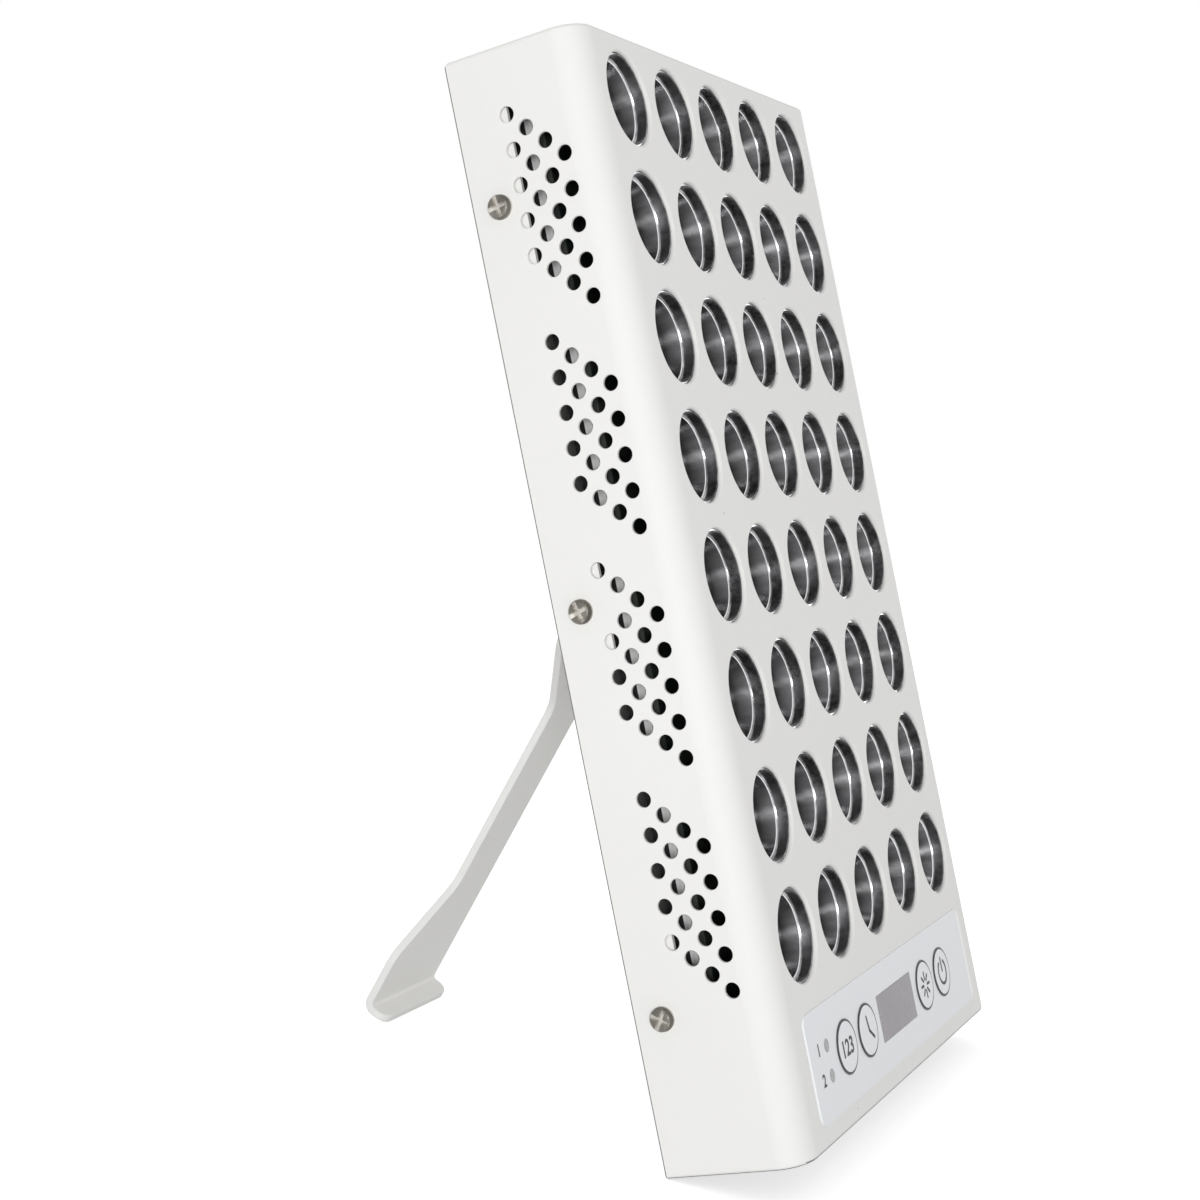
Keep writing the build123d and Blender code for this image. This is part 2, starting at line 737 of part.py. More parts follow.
# ---------------------------------------------------------------- hinge and folding leg
bracket_face = case_frame.offset(-bracket_thickness)
pin_centre = (-hinge_standoff, hinge_height)
with BuildPart() as hinge_bracket:
    with BuildSketch(case_frame):
        with Locations((leg_middle, hinge_height + (bracket_above - bracket_below) / 2)):
            RectangleRounded(2 * bracket_half, bracket_above + bracket_below, bracket_corner)
        with Locations(*rivet_points):
            Circle(rivet_diameter / 2 + inset_gap, mode=Mode.SUBTRACT)
    extrude(amount=-bracket_thickness)
    for ear_u in (leg_middle - ear_inner, leg_middle + ear_outer):
        with BuildSketch(left_side(ear_u)):
            with Locations(pin_centre):
                Circle(ear_radius)
            with Locations((-(hinge_standoff + bracket_thickness) / 2, hinge_height)):
                Rectangle(hinge_standoff - bracket_thickness, 2 * ear_radius)
            with Locations(pin_centre):
                Circle(hinge_pin_diameter / 2 + hinge_pin_gap, mode=Mode.SUBTRACT)
        extrude(amount=ear_thickness)
save(hinge_bracket.part, "hinge_bracket")

with BuildPart() as hinge_rivets:
    with BuildSketch(bracket_face):
        with Locations(*rivet_points):
            Circle(rivet_head / 2)
    extrude(amount=-rivet_head_height)
    with BuildSketch(bracket_face):
        with Locations(*rivet_points):
            Circle(rivet_diameter / 2)
    extrude(amount=bracket_thickness + sheet)
    with BuildSketch(case_frame.offset(sheet)):
        with Locations(*rivet_points):
            Circle(rivet_head / 2)
    extrude(amount=rivet_head_height)
save(hinge_rivets.part, "hinge_rivets")

with BuildPart() as hinge_pin:
    with BuildSketch(left_side(leg_middle + ear_outer)):
        with Locations(pin_centre):
            Circle(hinge_pin_diameter / 2)
    extrude(amount=2 * ear_outer)
    for head_u in (leg_middle + ear_outer + hinge_pin_head_thickness, leg_middle - ear_outer):
        with BuildSketch(left_side(head_u)):
            with Locations(pin_centre):
                Circle(hinge_pin_head / 2)
        extrude(amount=hinge_pin_head_thickness)
save(hinge_pin.part, "hinge_pin")

# the opened leg's own frame: u across, distances down the leg from the pin, normal to its back
from_vertical = open_angle - lean
down_leg = Vector(0, sin(from_vertical), -cos(from_vertical))
leg_normal = Vector(0, cos(from_vertical), sin(from_vertical))
pin_origin = case_frame.from_local_coords((0, hinge_height, -hinge_standoff))
leg_face = Plane(origin=pin_origin, x_dir=(1, 0, 0), z_dir=leg_normal)         # (u, down the leg)
leg_section = Plane(origin=pin_origin, x_dir=down_leg, z_dir=(1, 0, 0))        # (down, normal)
heel = (hinge_standoff - bracket_thickness - leg_stop_gap + leg_face_offset * cos(open_angle)) / sin(
    open_angle
)
leg_left = leg_right - leg_top_width
with BuildPart() as stand_leg:
    with BuildSketch(leg_section.offset(leg_left)) as side_view:
        with BuildLine():
            Polyline(
                (-heel, leg_face_offset),
                (leg_length, leg_face_offset),
                (leg_length, toe_tip),
                (leg_end, toe_tip),
                (leg_end, leg_back),
                (-heel, leg_back),
                close=True,
            )
        make_face()
        fold = side_view.vertices().filter_by_position(Axis.X, leg_length, leg_end)
        fillet(fold.filter_by_position(Axis.Y, leg_face_offset, leg_face_offset), toe_bend_radius)
        fillet(side_view.vertices().group_by(Axis.X)[-1].sort_by(Axis.Y)[-1], outer_bend)
    extrude(amount=leg_top_width)
    with BuildSketch(leg_face.offset(toe_tip - 1)) as front_view:
        with BuildLine():
            Polyline(
                (leg_right, -heel),
                (leg_right, leg_end),
                (leg_right - leg_foot_width, leg_end),
                (leg_right - leg_foot_width, leg_foot_top),
                (leg_right - leg_waist_width, leg_waist_bottom),
                (leg_right - leg_waist_width, leg_waist_top),
                (leg_left, leg_shoulder),
                (leg_left, -heel),
                close=True,
            )
        make_face()
        waist = front_view.vertices().filter_by_position(Axis.Y, leg_shoulder, leg_foot_top)
        fillet(waist, leg_outline_round)
    extrude(amount=leg_back - toe_tip + 2, mode=Mode.INTERSECT)
    toe_edges = stand_leg.edges().filter_by(Axis(pin_origin, down_leg))
    fillet(toe_edges.sort_by(Axis(pin_origin, leg_normal))[:2], toe_corner)
    with BuildSketch(leg_section.offset(leg_left)):
        Circle(knuckle_radius)
    extrude(amount=leg_top_width)
    with BuildSketch(leg_section.offset(leg_left - 1)):
        Circle(hinge_pin_diameter / 2 + hinge_pin_gap)
    extrude(amount=leg_top_width + 2, mode=Mode.SUBTRACT)
save(stand_leg.part, "stand_leg")
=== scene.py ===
"""Finishes and fine detail of a light therapy lamp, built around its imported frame."""

import json
import math
import bmesh
import bpy
from bpy.props import FloatProperty, FloatVectorProperty, IntProperty, PointerProperty
from mathutils import Matrix, Vector


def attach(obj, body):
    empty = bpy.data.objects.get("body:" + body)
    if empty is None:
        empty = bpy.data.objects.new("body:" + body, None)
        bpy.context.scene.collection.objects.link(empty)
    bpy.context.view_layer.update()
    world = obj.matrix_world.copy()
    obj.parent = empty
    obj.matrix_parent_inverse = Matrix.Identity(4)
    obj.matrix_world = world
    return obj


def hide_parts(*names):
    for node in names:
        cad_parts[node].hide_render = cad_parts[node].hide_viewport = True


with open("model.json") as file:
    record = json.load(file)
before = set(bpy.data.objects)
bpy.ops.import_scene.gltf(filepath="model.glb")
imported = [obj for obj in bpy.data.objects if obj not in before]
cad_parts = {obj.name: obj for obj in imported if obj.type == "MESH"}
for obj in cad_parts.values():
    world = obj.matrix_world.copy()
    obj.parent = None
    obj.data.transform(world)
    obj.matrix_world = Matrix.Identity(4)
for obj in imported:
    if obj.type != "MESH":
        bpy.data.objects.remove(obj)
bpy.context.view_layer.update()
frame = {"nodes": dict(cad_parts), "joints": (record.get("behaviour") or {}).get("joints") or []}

bl_info = {
    "name": "Light Therapy Lamp",
    "version": (1, 0, 0),
    "blender": (4, 5, 0),
    "location": "View3D > Sidebar > Lamp",
    "description": "Builds the finishes and fine detail of a light therapy lamp",
    "category": "Object",
}

MM = 0.001
TOUCH = 0.01 * MM           # points this close lie on one plane
KEYS = ("mode", "timer", "brightness", "power")

# ---------------------------------------------------------------- the leaning case frame
joints = {joint["name"]: joint for joint in frame["joints"]}
ACROSS = Vector((1, 0, 0))
OUT = -Vector(joints["power_press"]["axis"]).normalized()
UP = OUT.cross(ACROSS).normalized()


def node_points(node):
    """The points of a CAD node."""
    return [vertex.co for vertex in frame["nodes"][node].data.vertices]


def span(node, direction):
    """Lowest and highest reach of a CAD node along a direction."""
    reach = [point.dot(direction) for point in node_points(node)]
    return min(reach), max(reach)


CASE_REAR, CASE_FRONT = span("front_case", OUT)
CASE_BOTTOM, CASE_TOP = span("front_case", UP)


def place(u, v, w):
    """World point of the case: right of its middle, up from its bottom, forward of its rear."""
    return ACROSS * u + UP * (CASE_BOTTOM + v) + OUT * (CASE_REAR + w)


def standing_on(u, v, w, outward=OUT, upward=UP):
    """Matrix that lays local XY on a face of the case, with local Z outward."""
    side = upward.cross(outward)
    turn = Matrix((side, upward, outward)).transposed()
    return Matrix.Translation(place(u, v, w)) @ turn.to_4x4()


def solid_islands(node):
    """The separate solids of a CAD node, each as a list of points."""
    mesh = bmesh.new()
    mesh.from_mesh(frame["nodes"][node].data)
    bmesh.ops.remove_doubles(mesh, verts=mesh.verts, dist=1e-6)
    groups = []
    reached = set()
    for first in mesh.verts:
        if first in reached:
            continue
        reached.add(first)
        group = [first]
        for vertex in group:
            for edge in vertex.link_edges:
                other = edge.other_vert(vertex)
                if other not in reached:
                    reached.add(other)
                    group.append(other)
        groups.append([vertex.co.copy() for vertex in group])
    mesh.free()
    return groups


def island_centres(node, facing):
    """Middle of each solid of a node, on the plane of its furthest reach along a direction."""
    centres = []
    for points in solid_islands(node):
        reach = max(point.dot(facing) for point in points)
        rim = [point for point in points if point.dot(facing) > reach - TOUCH]
        centres.append(sum(rim, Vector()) / len(rim))
    return centres


def centre_of(points):
    """Middle of some points: right of the case's middle, and up from its bottom."""
    across = [point.dot(ACROSS) for point in points]
    upward = [point.dot(UP) for point in points]
    return (min(across) + max(across)) / 2, (min(upward) + max(upward)) / 2 - CASE_BOTTOM


# ---------------------------------------------------------------- sizes and colours a user may change
class LampPaint(bpy.types.PropertyGroup):
    """Finish of the painted sheet metal."""

    colour: FloatVectorProperty(
        name="Paint", description="Colour of the powder coat", subtype="COLOR",
        size=3, min=0, max=1, default=(0.83, 0.826, 0.81),
    )
    roughness: FloatProperty(
        name="Roughness", description="Roughness of the powder coat", min=0, max=1, default=0.56,
    )
    grain: FloatProperty(
        name="Grain", description="Size of the paint's orange peel", subtype="DISTANCE", unit="LENGTH",
        default=0.0011,
    )
    edge: FloatProperty(
        name="Edge", description="Rounding that the paint gives to cut sheet edges",
        subtype="DISTANCE", unit="LENGTH", default=0.00028,
    )
    rolled_edge: FloatProperty(
        name="Openings", description="Rounding of the front edge of each light opening",
        subtype="DISTANCE", unit="LENGTH", default=0.00095,
    )


class LampReflector(bpy.types.PropertyGroup):
    """The metallised cups behind the openings."""

    colour: FloatVectorProperty(
        name="Metal", description="Colour of the metallised bowl", subtype="COLOR",
        size=3, min=0, max=1, default=(0.40, 0.40, 0.407),
    )
    rim_colour: FloatVectorProperty(
        name="Rim", description="Colour of the polished rim", subtype="COLOR",
        size=3, min=0, max=1, default=(0.80, 0.80, 0.81),
    )
    segments: IntProperty(
        name="Segments", description="Faces round each cup", min=16, max=64, default=40,
    )


class LampPanel(bpy.types.PropertyGroup):
    """Control strip."""

    film: FloatVectorProperty(
        name="Film", description="Colour of the printed film", subtype="COLOR",
        size=3, min=0, max=1, default=(0.80, 0.815, 0.84),
    )
    print_colour: FloatVectorProperty(
        name="Print", description="Colour of the symbols", subtype="COLOR",
        size=3, min=0, max=1, default=(0.018, 0.019, 0.021),
    )
    symbol_height: FloatProperty(
        name="Symbols", description="Height of the symbols on the keys", subtype="DISTANCE",
        unit="LENGTH", default=0.0082,
    )
    print_thickness: FloatProperty(
        name="Ink", description="Thickness of the print", subtype="DISTANCE", unit="LENGTH",
        default=0.00004,
    )


class LampSettings(bpy.types.PropertyGroup):
    """Everything a user may change."""

    paint: PointerProperty(type=LampPaint)
    reflector: PointerProperty(type=LampReflector)
    panel: PointerProperty(type=LampPanel)


def settings():
    """The lamp's settings in the open scene."""
    return bpy.context.scene.lamp_settings


# ---------------------------------------------------------------- shader building
class Nodes:
    """A node tree, with short calls to add, set and join nodes."""

    position = None

    def __init__(self, tree):
        self.tree = tree

    def join(self, source, target):
        """Links an output to an input."""
        self.tree.links.new(source, target)

    def feed(self, value, socket):
        """Gives an input a number, a vector, a colour or another node's output."""
        if hasattr(value, "links"):
            self.join(value, socket)
        elif socket.type == "RGBA":
            socket.default_value = (*value, 1.0)
        else:
            socket.default_value = value

    def add(self, kind, **values):
        """Adds a node and sets its attributes or, by name, its inputs."""
        node = self.tree.nodes.new(kind)
        for key, value in values.items():
            if hasattr(node, key):
                setattr(node, key, value)
            else:
                self.feed(value, node.inputs[key.replace("_", " ")])
        return node

    def worked(self, kind, operation, values):
        """A node that works on numbers, vectors or sockets."""
        node = self.add(kind, operation=operation)
        for value, socket in zip(values, node.inputs):
            self.feed(value, socket)
        return node

    def math(self, operation, *values):
        """A calculation on numbers."""
        return self.worked("ShaderNodeMath", operation, values).outputs[0]

    def vector(self, operation, *values):
        """A calculation on vectors."""
        return self.worked("ShaderNodeVectorMath", operation, values).outputs[0]

    def mix(self, factor, first, second):
        """Mixes two colours."""
        node = self.add("ShaderNodeMix", data_type="RGBA")
        for index, value in ((0, factor), (6, first), (7, second)):
            self.feed(value, node.inputs[index])
        return node.outputs[2]

    def ramp(self, value, low, high, dark=0.0, light=1.0):
        """Maps a value from one range to another, clamped."""
        node = self.add(
            "ShaderNodeMapRange", Value=value, From_Min=low, From_Max=high, To_Min=dark, To_Max=light
        )
        return node.outputs["Result"]

    def noise(self, scale, detail=2.0, position=None):
        """Noise in object space, or in a space of its own."""
        node = self.add("ShaderNodeTexNoise", Scale=scale, Detail=detail, Vector=position or self.position)
        return node.outputs["Fac"]


class Shader(Nodes):
    """A material's nodes round its surface shader."""

    def __init__(self, name):
        self.material = bpy.data.materials.new(name)
        self.material.use_nodes = True
        super().__init__(self.material.node_tree)
        self.surface = self.tree.nodes["Principled BSDF"]
        self.position = self.add("ShaderNodeTexCoord").outputs["Object"]

    def set(self, **values):
        """Feeds inputs of the surface shader, by name, and gives the material."""
        for key, value in values.items():
            self.feed(value, self.surface.inputs[key.replace("_", " ")])
        return self.material

    def group(self, name, **values):
        """Places a shared effect on the object position, and gives its outputs."""
        return self.add("ShaderNodeGroup", node_tree=shared(name), Position=self.position, **values).outputs

    def wear(self, grain, cloud, speck):
        """The shared wear of paint and plastic, at three scales."""
        return self.group("wear", Grain_Scale=grain, Cloud_Scale=cloud, Speck_Scale=speck)

    def clouded(self, wear, dark, light, low=0.3, high=0.7):
        """A colour that drifts slowly between two tones."""
        return self.mix(self.ramp(wear["Cloud"], low, high), dark, light)

    def along(self, direction):
        """Object position measured along a direction, in metres."""
        return self.worked("ShaderNodeVectorMath", "DOT_PRODUCT", (self.position, direction)).outputs["Value"]

    def bump(self, height, strength, distance):
        """A bump from a height."""
        node = self.add("ShaderNodeBump", Strength=strength, Distance=distance, Height=height)
        return node.outputs["Normal"]


def new_group(name, inputs, outputs):
    """An empty effect, with what it is given and what it results in."""
    tree = bpy.data.node_groups.new(name, "ShaderNodeTree")
    for socket_name, kind, default in inputs:
        socket = tree.interface.new_socket(name=socket_name, in_out="INPUT", socket_type=kind)
        if default is not None:
            socket.default_value = default
    for socket_name in outputs:
        tree.interface.new_socket(name=socket_name, in_out="OUTPUT", socket_type="NodeSocketFloat")
    nodes = Nodes(tree)
    return nodes, nodes.add("NodeGroupInput").outputs, nodes.add("NodeGroupOutput").inputs


def surface_wear_group():
    """Slow colour variation, fine specks and a pebbled height, for moulded and painted surfaces."""
    nodes, given, result = new_group(
        "surface_wear",
        [
            ("Position", "NodeSocketVector", None),
            ("Grain Scale", "NodeSocketFloat", 900.0),
            ("Cloud Scale", "NodeSocketFloat", 14.0),
            ("Speck Scale", "NodeSocketFloat", 420.0),
        ],
        ["Cloud", "Speck", "Height"],
    )
    position = given["Position"]
    cells = nodes.add("ShaderNodeTexVoronoi", Vector=position, Scale=given["Speck Scale"]).outputs
    shares = nodes.add("ShaderNodeSeparateColor", Color=cells["Color"]).outputs
    in_few_cells = nodes.math("GREATER_THAN", shares["Red"], 0.972)
    at_middle = nodes.ramp(cells["Distance"], 0.05, 0.11, 1.0, 0.0)
    nodes.join(nodes.noise(given["Cloud Scale"], 4.0, position), result["Cloud"])
    nodes.join(nodes.math("MULTIPLY", at_middle, in_few_cells), result["Speck"])
    nodes.join(nodes.noise(given["Grain Scale"], 1.5, position), result["Height"])
    return nodes.tree


def brushed_group():
    """Fine streaks along one direction, for extruded, turned and plated metal."""
    nodes, given, result = new_group(
        "metal_streaks",
        [("Position", "NodeSocketVector", None), ("Stretch", "NodeSocketVector", (900.0, 900.0, 12.0))],
        ["Streak", "Stain"],
    )
    stretched = nodes.vector("MULTIPLY", given["Position"], given["Stretch"])
    nodes.join(nodes.noise(1.0, 3.0, stretched), result["Streak"])
    nodes.join(nodes.noise(45.0, 3.0, given["Position"]), result["Stain"])
    return nodes.tree


GROUPS = {}


def shared(name):
    """A shared effect, built the first time it is asked for."""
    if name not in GROUPS:
        GROUPS[name] = {"wear": surface_wear_group, "streaks": brushed_group}[name]()
    return GROUPS[name]


# ---------------------------------------------------------------- materials
def shade(colour, factor):
    """A colour made lighter or darker."""
    return tuple(min(1.0, channel * factor) for channel in colour)


def enamel_material(name, shaded_edges):
    """Warm white powder coat: fine orange peel, slow clouding, a rare dark speck, and where asked painted
    shade along the case's rear and lower edges.
    """
    paint = settings().paint
    shader = Shader(name)
    wear = shader.wear(1 / paint.grain, 9.0, 170.0)
    base = shader.clouded(wear, shade(paint.colour, 0.985), shade(paint.colour, 1.012))
    base = shader.mix(shader.math("MULTIPLY", wear["Speck"], 0.55), base, (0.32, 0.31, 0.29))
    if shaded_edges:
        # Painted shade: thin dark lines along the case's rear edges, which turn away from the light, and
        # along its lower edges, widest at the front, where the case's shadow falls.
        forward, height = shader.along(OUT), shader.along(UP)
        rear_edge = shader.ramp(forward, CASE_REAR + 0.42 * MM, CASE_REAR + 0.5 * MM, 0.9, 0.0)
        lower_edge = shader.ramp(height, CASE_BOTTOM + 0.35 * MM, CASE_BOTTOM + 0.6 * MM, 0.9, 0.0)
        front_edge = shader.math(
            "MULTIPLY",
            shader.ramp(height, CASE_BOTTOM + 0.75 * MM, CASE_BOTTOM + 1.0 * MM, 0.9, 0.0),
            shader.math("GREATER_THAN", forward, CASE_FRONT - 2 * MM),
        )
        painted_edge_shade = shader.math("MAXIMUM", rear_edge, shader.math("MAXIMUM", lower_edge, front_edge))
        # the colour of the painted shade on those edges
        base = shader.mix(painted_edge_shade, base, (0.11, 0.11, 0.115))
    rough = paint.roughness
    return shader.set(
        Base_Color=base,
        Roughness=shader.ramp(wear["Cloud"], 0.3, 0.7, rough - 0.04, rough + 0.05),
        Normal=shader.bump(wear["Height"], 0.10, 0.0002),
        Specular_IOR_Level=0.22,
    )


def film_material():
    """Cool grey-white polycarbonate film with a fine matt texture and a plain border at its right."""
    film = settings().panel.film
    border_width = 2.2 * MM
    shader = Shader("overlay_film")
    wear = shader.wear(4200.0, 22.0, 260.0)
    printed = shader.clouded(wear, shade(film, 0.985), shade(film, 1.015))
    border_from = span("control_overlay", ACROSS)[1] - border_width
    border = shader.math("GREATER_THAN", shader.along(ACROSS), border_from)
    return shader.set(
        Base_Color=shader.mix(border, printed, (0.92, 0.92, 0.91)),
        Roughness=shader.ramp(wear["Cloud"], 0.3, 0.7, 0.36, 0.46),
        Normal=shader.bump(wear["Height"], 0.08, 0.00008),
    )


def key_material():
    """Key with a black body and a film cap printed on top."""
    film = settings().panel.film
    cap_thickness = 0.10 * MM
    shader = Shader("button_plastic")
    wear = shader.wear(4200.0, 60.0, 300.0)
    above = shader.math("GREATER_THAN", shader.along(OUT), span("power_button", OUT)[1] - cap_thickness)
    cap = shader.clouded(wear, shade(film, 0.985), shade(film, 1.02))
    return shader.set(
        Base_Color=shader.mix(above, (0.016, 0.016, 0.018), cap),
        Roughness=shader.ramp(wear["Cloud"], 0.3, 0.7, 0.38, 0.48),
        Normal=shader.bump(wear["Height"], 0.08, 0.00008),
    )


def moulded_material(name, scales, tones, rough, follows="Cloud", bump=None, clouds=(0.3, 0.7)):
    """Clouded plastic between two tones, whose roughness follows one output of its wear."""
    shader = Shader(name)
    wear = shader.wear(*scales)
    shader.set(
        Base_Color=shader.clouded(wear, *tones, *clouds),
        Roughness=shader.ramp(wear[follows], 0.3, 0.7, *rough),
    )
    if bump:
        shader.set(Normal=shader.bump(wear["Height"], *bump))
    return shader.material


def window_material():
    """Smoked window over an unlit display, a little uneven."""
    tones = (0.230, 0.214, 0.228), (0.285, 0.266, 0.283)
    return moulded_material(
        "smoked_window", (3000.0, 55.0, 300.0), tones, (0.22, 0.34), bump=(0.03, 0.00005), clouds=(0.35, 0.65)
    )


def indicator_material():
    """Unlit grey indicator."""
    tones = (0.30, 0.30, 0.31), (0.42, 0.42, 0.43)
    return moulded_material("indicator_plastic", (2500.0, 500.0, 300.0), tones, (0.25, 0.35), "Height")


def ink_material():
    """Screen-printed ink, matt."""
    ink = settings().panel.print_colour
    tones = ink, shade(ink, 1.9)
    return moulded_material("screen_ink", (5000.0, 700.0, 300.0), tones, (0.5, 0.65), "Height")


def emitter_material():
    """Unlit phosphor over the light dies."""
    tones = (0.75, 0.55, 0.12), (0.86, 0.70, 0.25)
    return moulded_material("led_die", (3000.0, 900.0, 500.0), tones, (0.2, 0.3), "Height")


def black_plastic_material():
    """Black moulded plastic with a spark-eroded texture."""
    colour = (0.018, 0.018, 0.019)
    tones = shade(colour, 0.85), shade(colour, 1.2)
    return moulded_material("black_plastic", (1800.0, 40.0, 350.0), tones, (0.37, 0.49), bump=(0.25, 0.0001))


def metal_material(name, colour, rough, stretch, streaks=0.10, metallic=1.0):
    """Bare or plated metal with fine streaks and faint stains."""
    shader = Shader(name)
    marks = shader.group("streaks", Stretch=stretch)
    tone = shader.math(
        "ADD",
        shader.ramp(marks["Streak"], 0.3, 0.7, 0.0, 0.6),
        shader.ramp(marks["Stain"], 0.35, 0.65, 0.0, 0.4),
    )
    return shader.set(
        Base_Color=shader.mix(tone, shade(colour, 1 - streaks), shade(colour, 1 + streaks)),
        Roughness=shader.ramp(marks["Streak"], 0.3, 0.7, rough - 0.05, rough + 0.08),
        Normal=shader.bump(marks["Streak"], 0.12, 0.00004),
        Metallic=metallic,
    )


def board_material():
    """Dark solder mask with a faint copper pour below it."""
    shader = Shader("circuit_board")
    pour = shader.add(
        "ShaderNodeTexBrick", offset=0.5, Vector=shader.position, Scale=60.0, Mortar_Size=0.03,
        Color1=(0.014, 0.020, 0.018), Color2=(0.018, 0.026, 0.022), Mortar=(0.035, 0.042, 0.034),
    ).outputs
    return shader.set(Base_Color=pour["Color"], Roughness=shader.ramp(pour["Fac"], 0, 1, 0.42, 0.55))


def heat_sink_material():
    """Black anodised fins with a bare, matt strip along their root."""
    strip_from, strip_to = CASE_REAR + 16.9 * MM, CASE_REAR + 20.9 * MM
    shader = Shader("anodised_heat_sink")
    streak = shader.group("streaks", Stretch=(700.0, 12.0, 12.0))["Streak"]
    height = shader.along(OUT)
    above = shader.math("GREATER_THAN", height, strip_from)
    below = shader.math("LESS_THAN", height, strip_to)
    root = shader.math("MULTIPLY", above, below)
    black = shader.mix(streak, (0.010, 0.010, 0.011), (0.028, 0.028, 0.030))
    bare = shader.mix(streak, (0.88, 0.88, 0.87), (0.95, 0.95, 0.94))
    return shader.set(
        Base_Color=shader.mix(root, black, bare),
        Roughness=shader.ramp(streak, 0.3, 0.7, 0.48, 0.62),
        Normal=shader.bump(streak, 0.12, 0.00004),
    )


def cup_streaks(shader, count, depth):
    """Noise that runs down a cup's wall in streaks, a little different in each cup."""
    own = shader.add("ShaderNodeAttribute", attribute_name="cup_place").outputs["Vector"]
    around = shader.vector("NORMALIZE", shader.vector("MULTIPLY", own, (1, 1, 0)))
    deep = shader.vector("MULTIPLY_ADD", own, (0, 0, depth), around)
    differing = shader.vector("MULTIPLY_ADD", shader.position, (6.0, 6.0, 6.0), deep)
    return shader.noise(count, 4.0, differing), own


def bowl_material():
    """Metallised bowl: faint drawn streaks, painted shade darkening the wall below its mouth and a painted
    reflection brightening its foot.
    """
    metal = settings().reflector.colour
    shader = Shader("metallised_bowl")
    streak, own = cup_streaks(shader, 3.2, 14.0)
    level = shader.add("ShaderNodeSeparateXYZ", Vector=own).outputs["Z"]
    # Painted shade: the wall below the mouth is darkened in colour.
    near_mouth = shader.ramp(level, -9.0 * MM, -4.0 * MM)
    # Painted reflection: the foot, deep in the bowl, is brightened in colour.
    deep = shader.ramp(level, -14.5 * MM, -10.5 * MM, 1.0, 0.0)
    tone = shader.mix(shader.ramp(streak, 0.32, 0.68), shade(metal, 0.78), shade(metal, 1.28))
    wall = shader.mix(near_mouth, shade(metal, 0.15), tone)
    return shader.set(
        Base_Color=shader.mix(deep, wall, shade(metal, 1.7)),
        Roughness=shader.ramp(streak, 0.3, 0.7, 0.16, 0.24),
        Normal=shader.bump(shader.noise(900.0), 0.10, 0.0001),
        Metallic=1.0,
    )


def collar_material():
    """Metallised collar between the sheet and the bowl, duller and streaked."""
    metal = settings().reflector.colour
    shader = Shader("metallised_collar")
    streak, _ = cup_streaks(shader, 1.7, 60.0)
    cloud = shader.noise(420.0, 4.0)
    tone = shader.math(
        "ADD", shader.ramp(streak, 0.40, 0.60, 0.0, 0.75), shader.ramp(cloud, 0.4, 0.6, 0.0, 0.25)
    )
    return shader.set(
        Base_Color=shader.mix(tone, shade(metal, 0.32), shade(metal, 1.5)),
        Roughness=shader.ramp(streak, 0.3, 0.7, 0.30, 0.20),
        Normal=shader.bump(cloud, 0.06, 0.0001),
        Metallic=0.97,
    )


def rim_material():
    """Polished lip of the bowl."""
    rim = settings().reflector.rim_colour
    shader = Shader("polished_rim")
    cloud = shader.noise(600.0)
    return shader.set(
        Base_Color=shader.mix(shader.ramp(cloud, 0.35, 0.65), shade(rim, 0.9), rim),
        Roughness=shader.ramp(cloud, 0.35, 0.65, 0.12, 0.2),
        Metallic=1.0,
    )


MATERIALS = {}


def finish_named(name):
    """A finish of the lamp, made the first time it is asked for."""
    makers = {
        "white_enamel": lambda: enamel_material("white_enamel", False),
        "enamel_shaded_edges": lambda: enamel_material("enamel_shaded_edges", True),
        "overlay_film": film_material,
        "button_plastic": key_material,
        "smoked_window": window_material,
        "indicator_plastic": indicator_material,
        "screen_ink": ink_material,
        "circuit_board": board_material,
        "anodised_heat_sink": heat_sink_material,
        "led_die": emitter_material,
        "metallised_bowl": bowl_material,
        "metallised_collar": collar_material,
        "polished_rim": rim_material,
        "black_plastic": black_plastic_material,
        "bare_aluminium": lambda: metal_material(
            "bare_aluminium", (0.62, 0.63, 0.65), 0.34, (700.0, 12.0, 12.0)
        ),
        "plated_steel": lambda: metal_material(
            "plated_steel", (0.165, 0.155, 0.138), 0.24, (400.0, 400.0, 60.0), 0.4
        ),
        # The cross recess: a lighter copy of the plated steel, a painted highlight.
        "recess_painted_highlight": lambda: metal_material(
            "recess_painted_highlight", (0.50, 0.48, 0.44), 0.36, (400.0, 400.0, 60.0), 0.3, metallic=0.75
        ),
        "inlet_brass": lambda: metal_material("inlet_brass", (0.70, 0.64, 0.46), 0.26, (500.0, 40.0, 500.0)),
    }
    if name not in MATERIALS:
        MATERIALS[name] = makers[name]()
    return MATERIALS[name]


def dress(obj, *names):
    """Gives an object its finishes in slot order, and leaves each face its slot."""
    slots = obj.data.materials
    for index, name in enumerate(names):
        if index < len(slots):
            slots[index] = finish_named(name)
        else:
            slots.append(finish_named(name))


# ---------------------------------------------------------------- mesh helpers
def object_from(mesh, name, smooth=True, sharp_from=32):
    """A finished object from a bmesh, with smooth faces and sharp edges kept by angle in degrees."""
    data = bpy.data.meshes.new(name)
    mesh.to_mesh(data)
    mesh.free()
    if smooth:
        data.shade_smooth()
        data.set_sharp_from_angle(angle=math.radians(sharp_from))
    obj = bpy.data.objects.new(name, data)
    bpy.context.scene.collection.objects.link(obj)
    return obj


def bake_modifiers(obj):
    """Replaces the object's mesh by what its modifiers make of it."""
    graph = bpy.context.evaluated_depsgraph_get()
    made = bpy.data.meshes.new_from_object(obj.evaluated_get(graph))
    old = obj.data
    obj.modifiers.clear()
    obj.data = made
    bpy.data.meshes.remove(old)


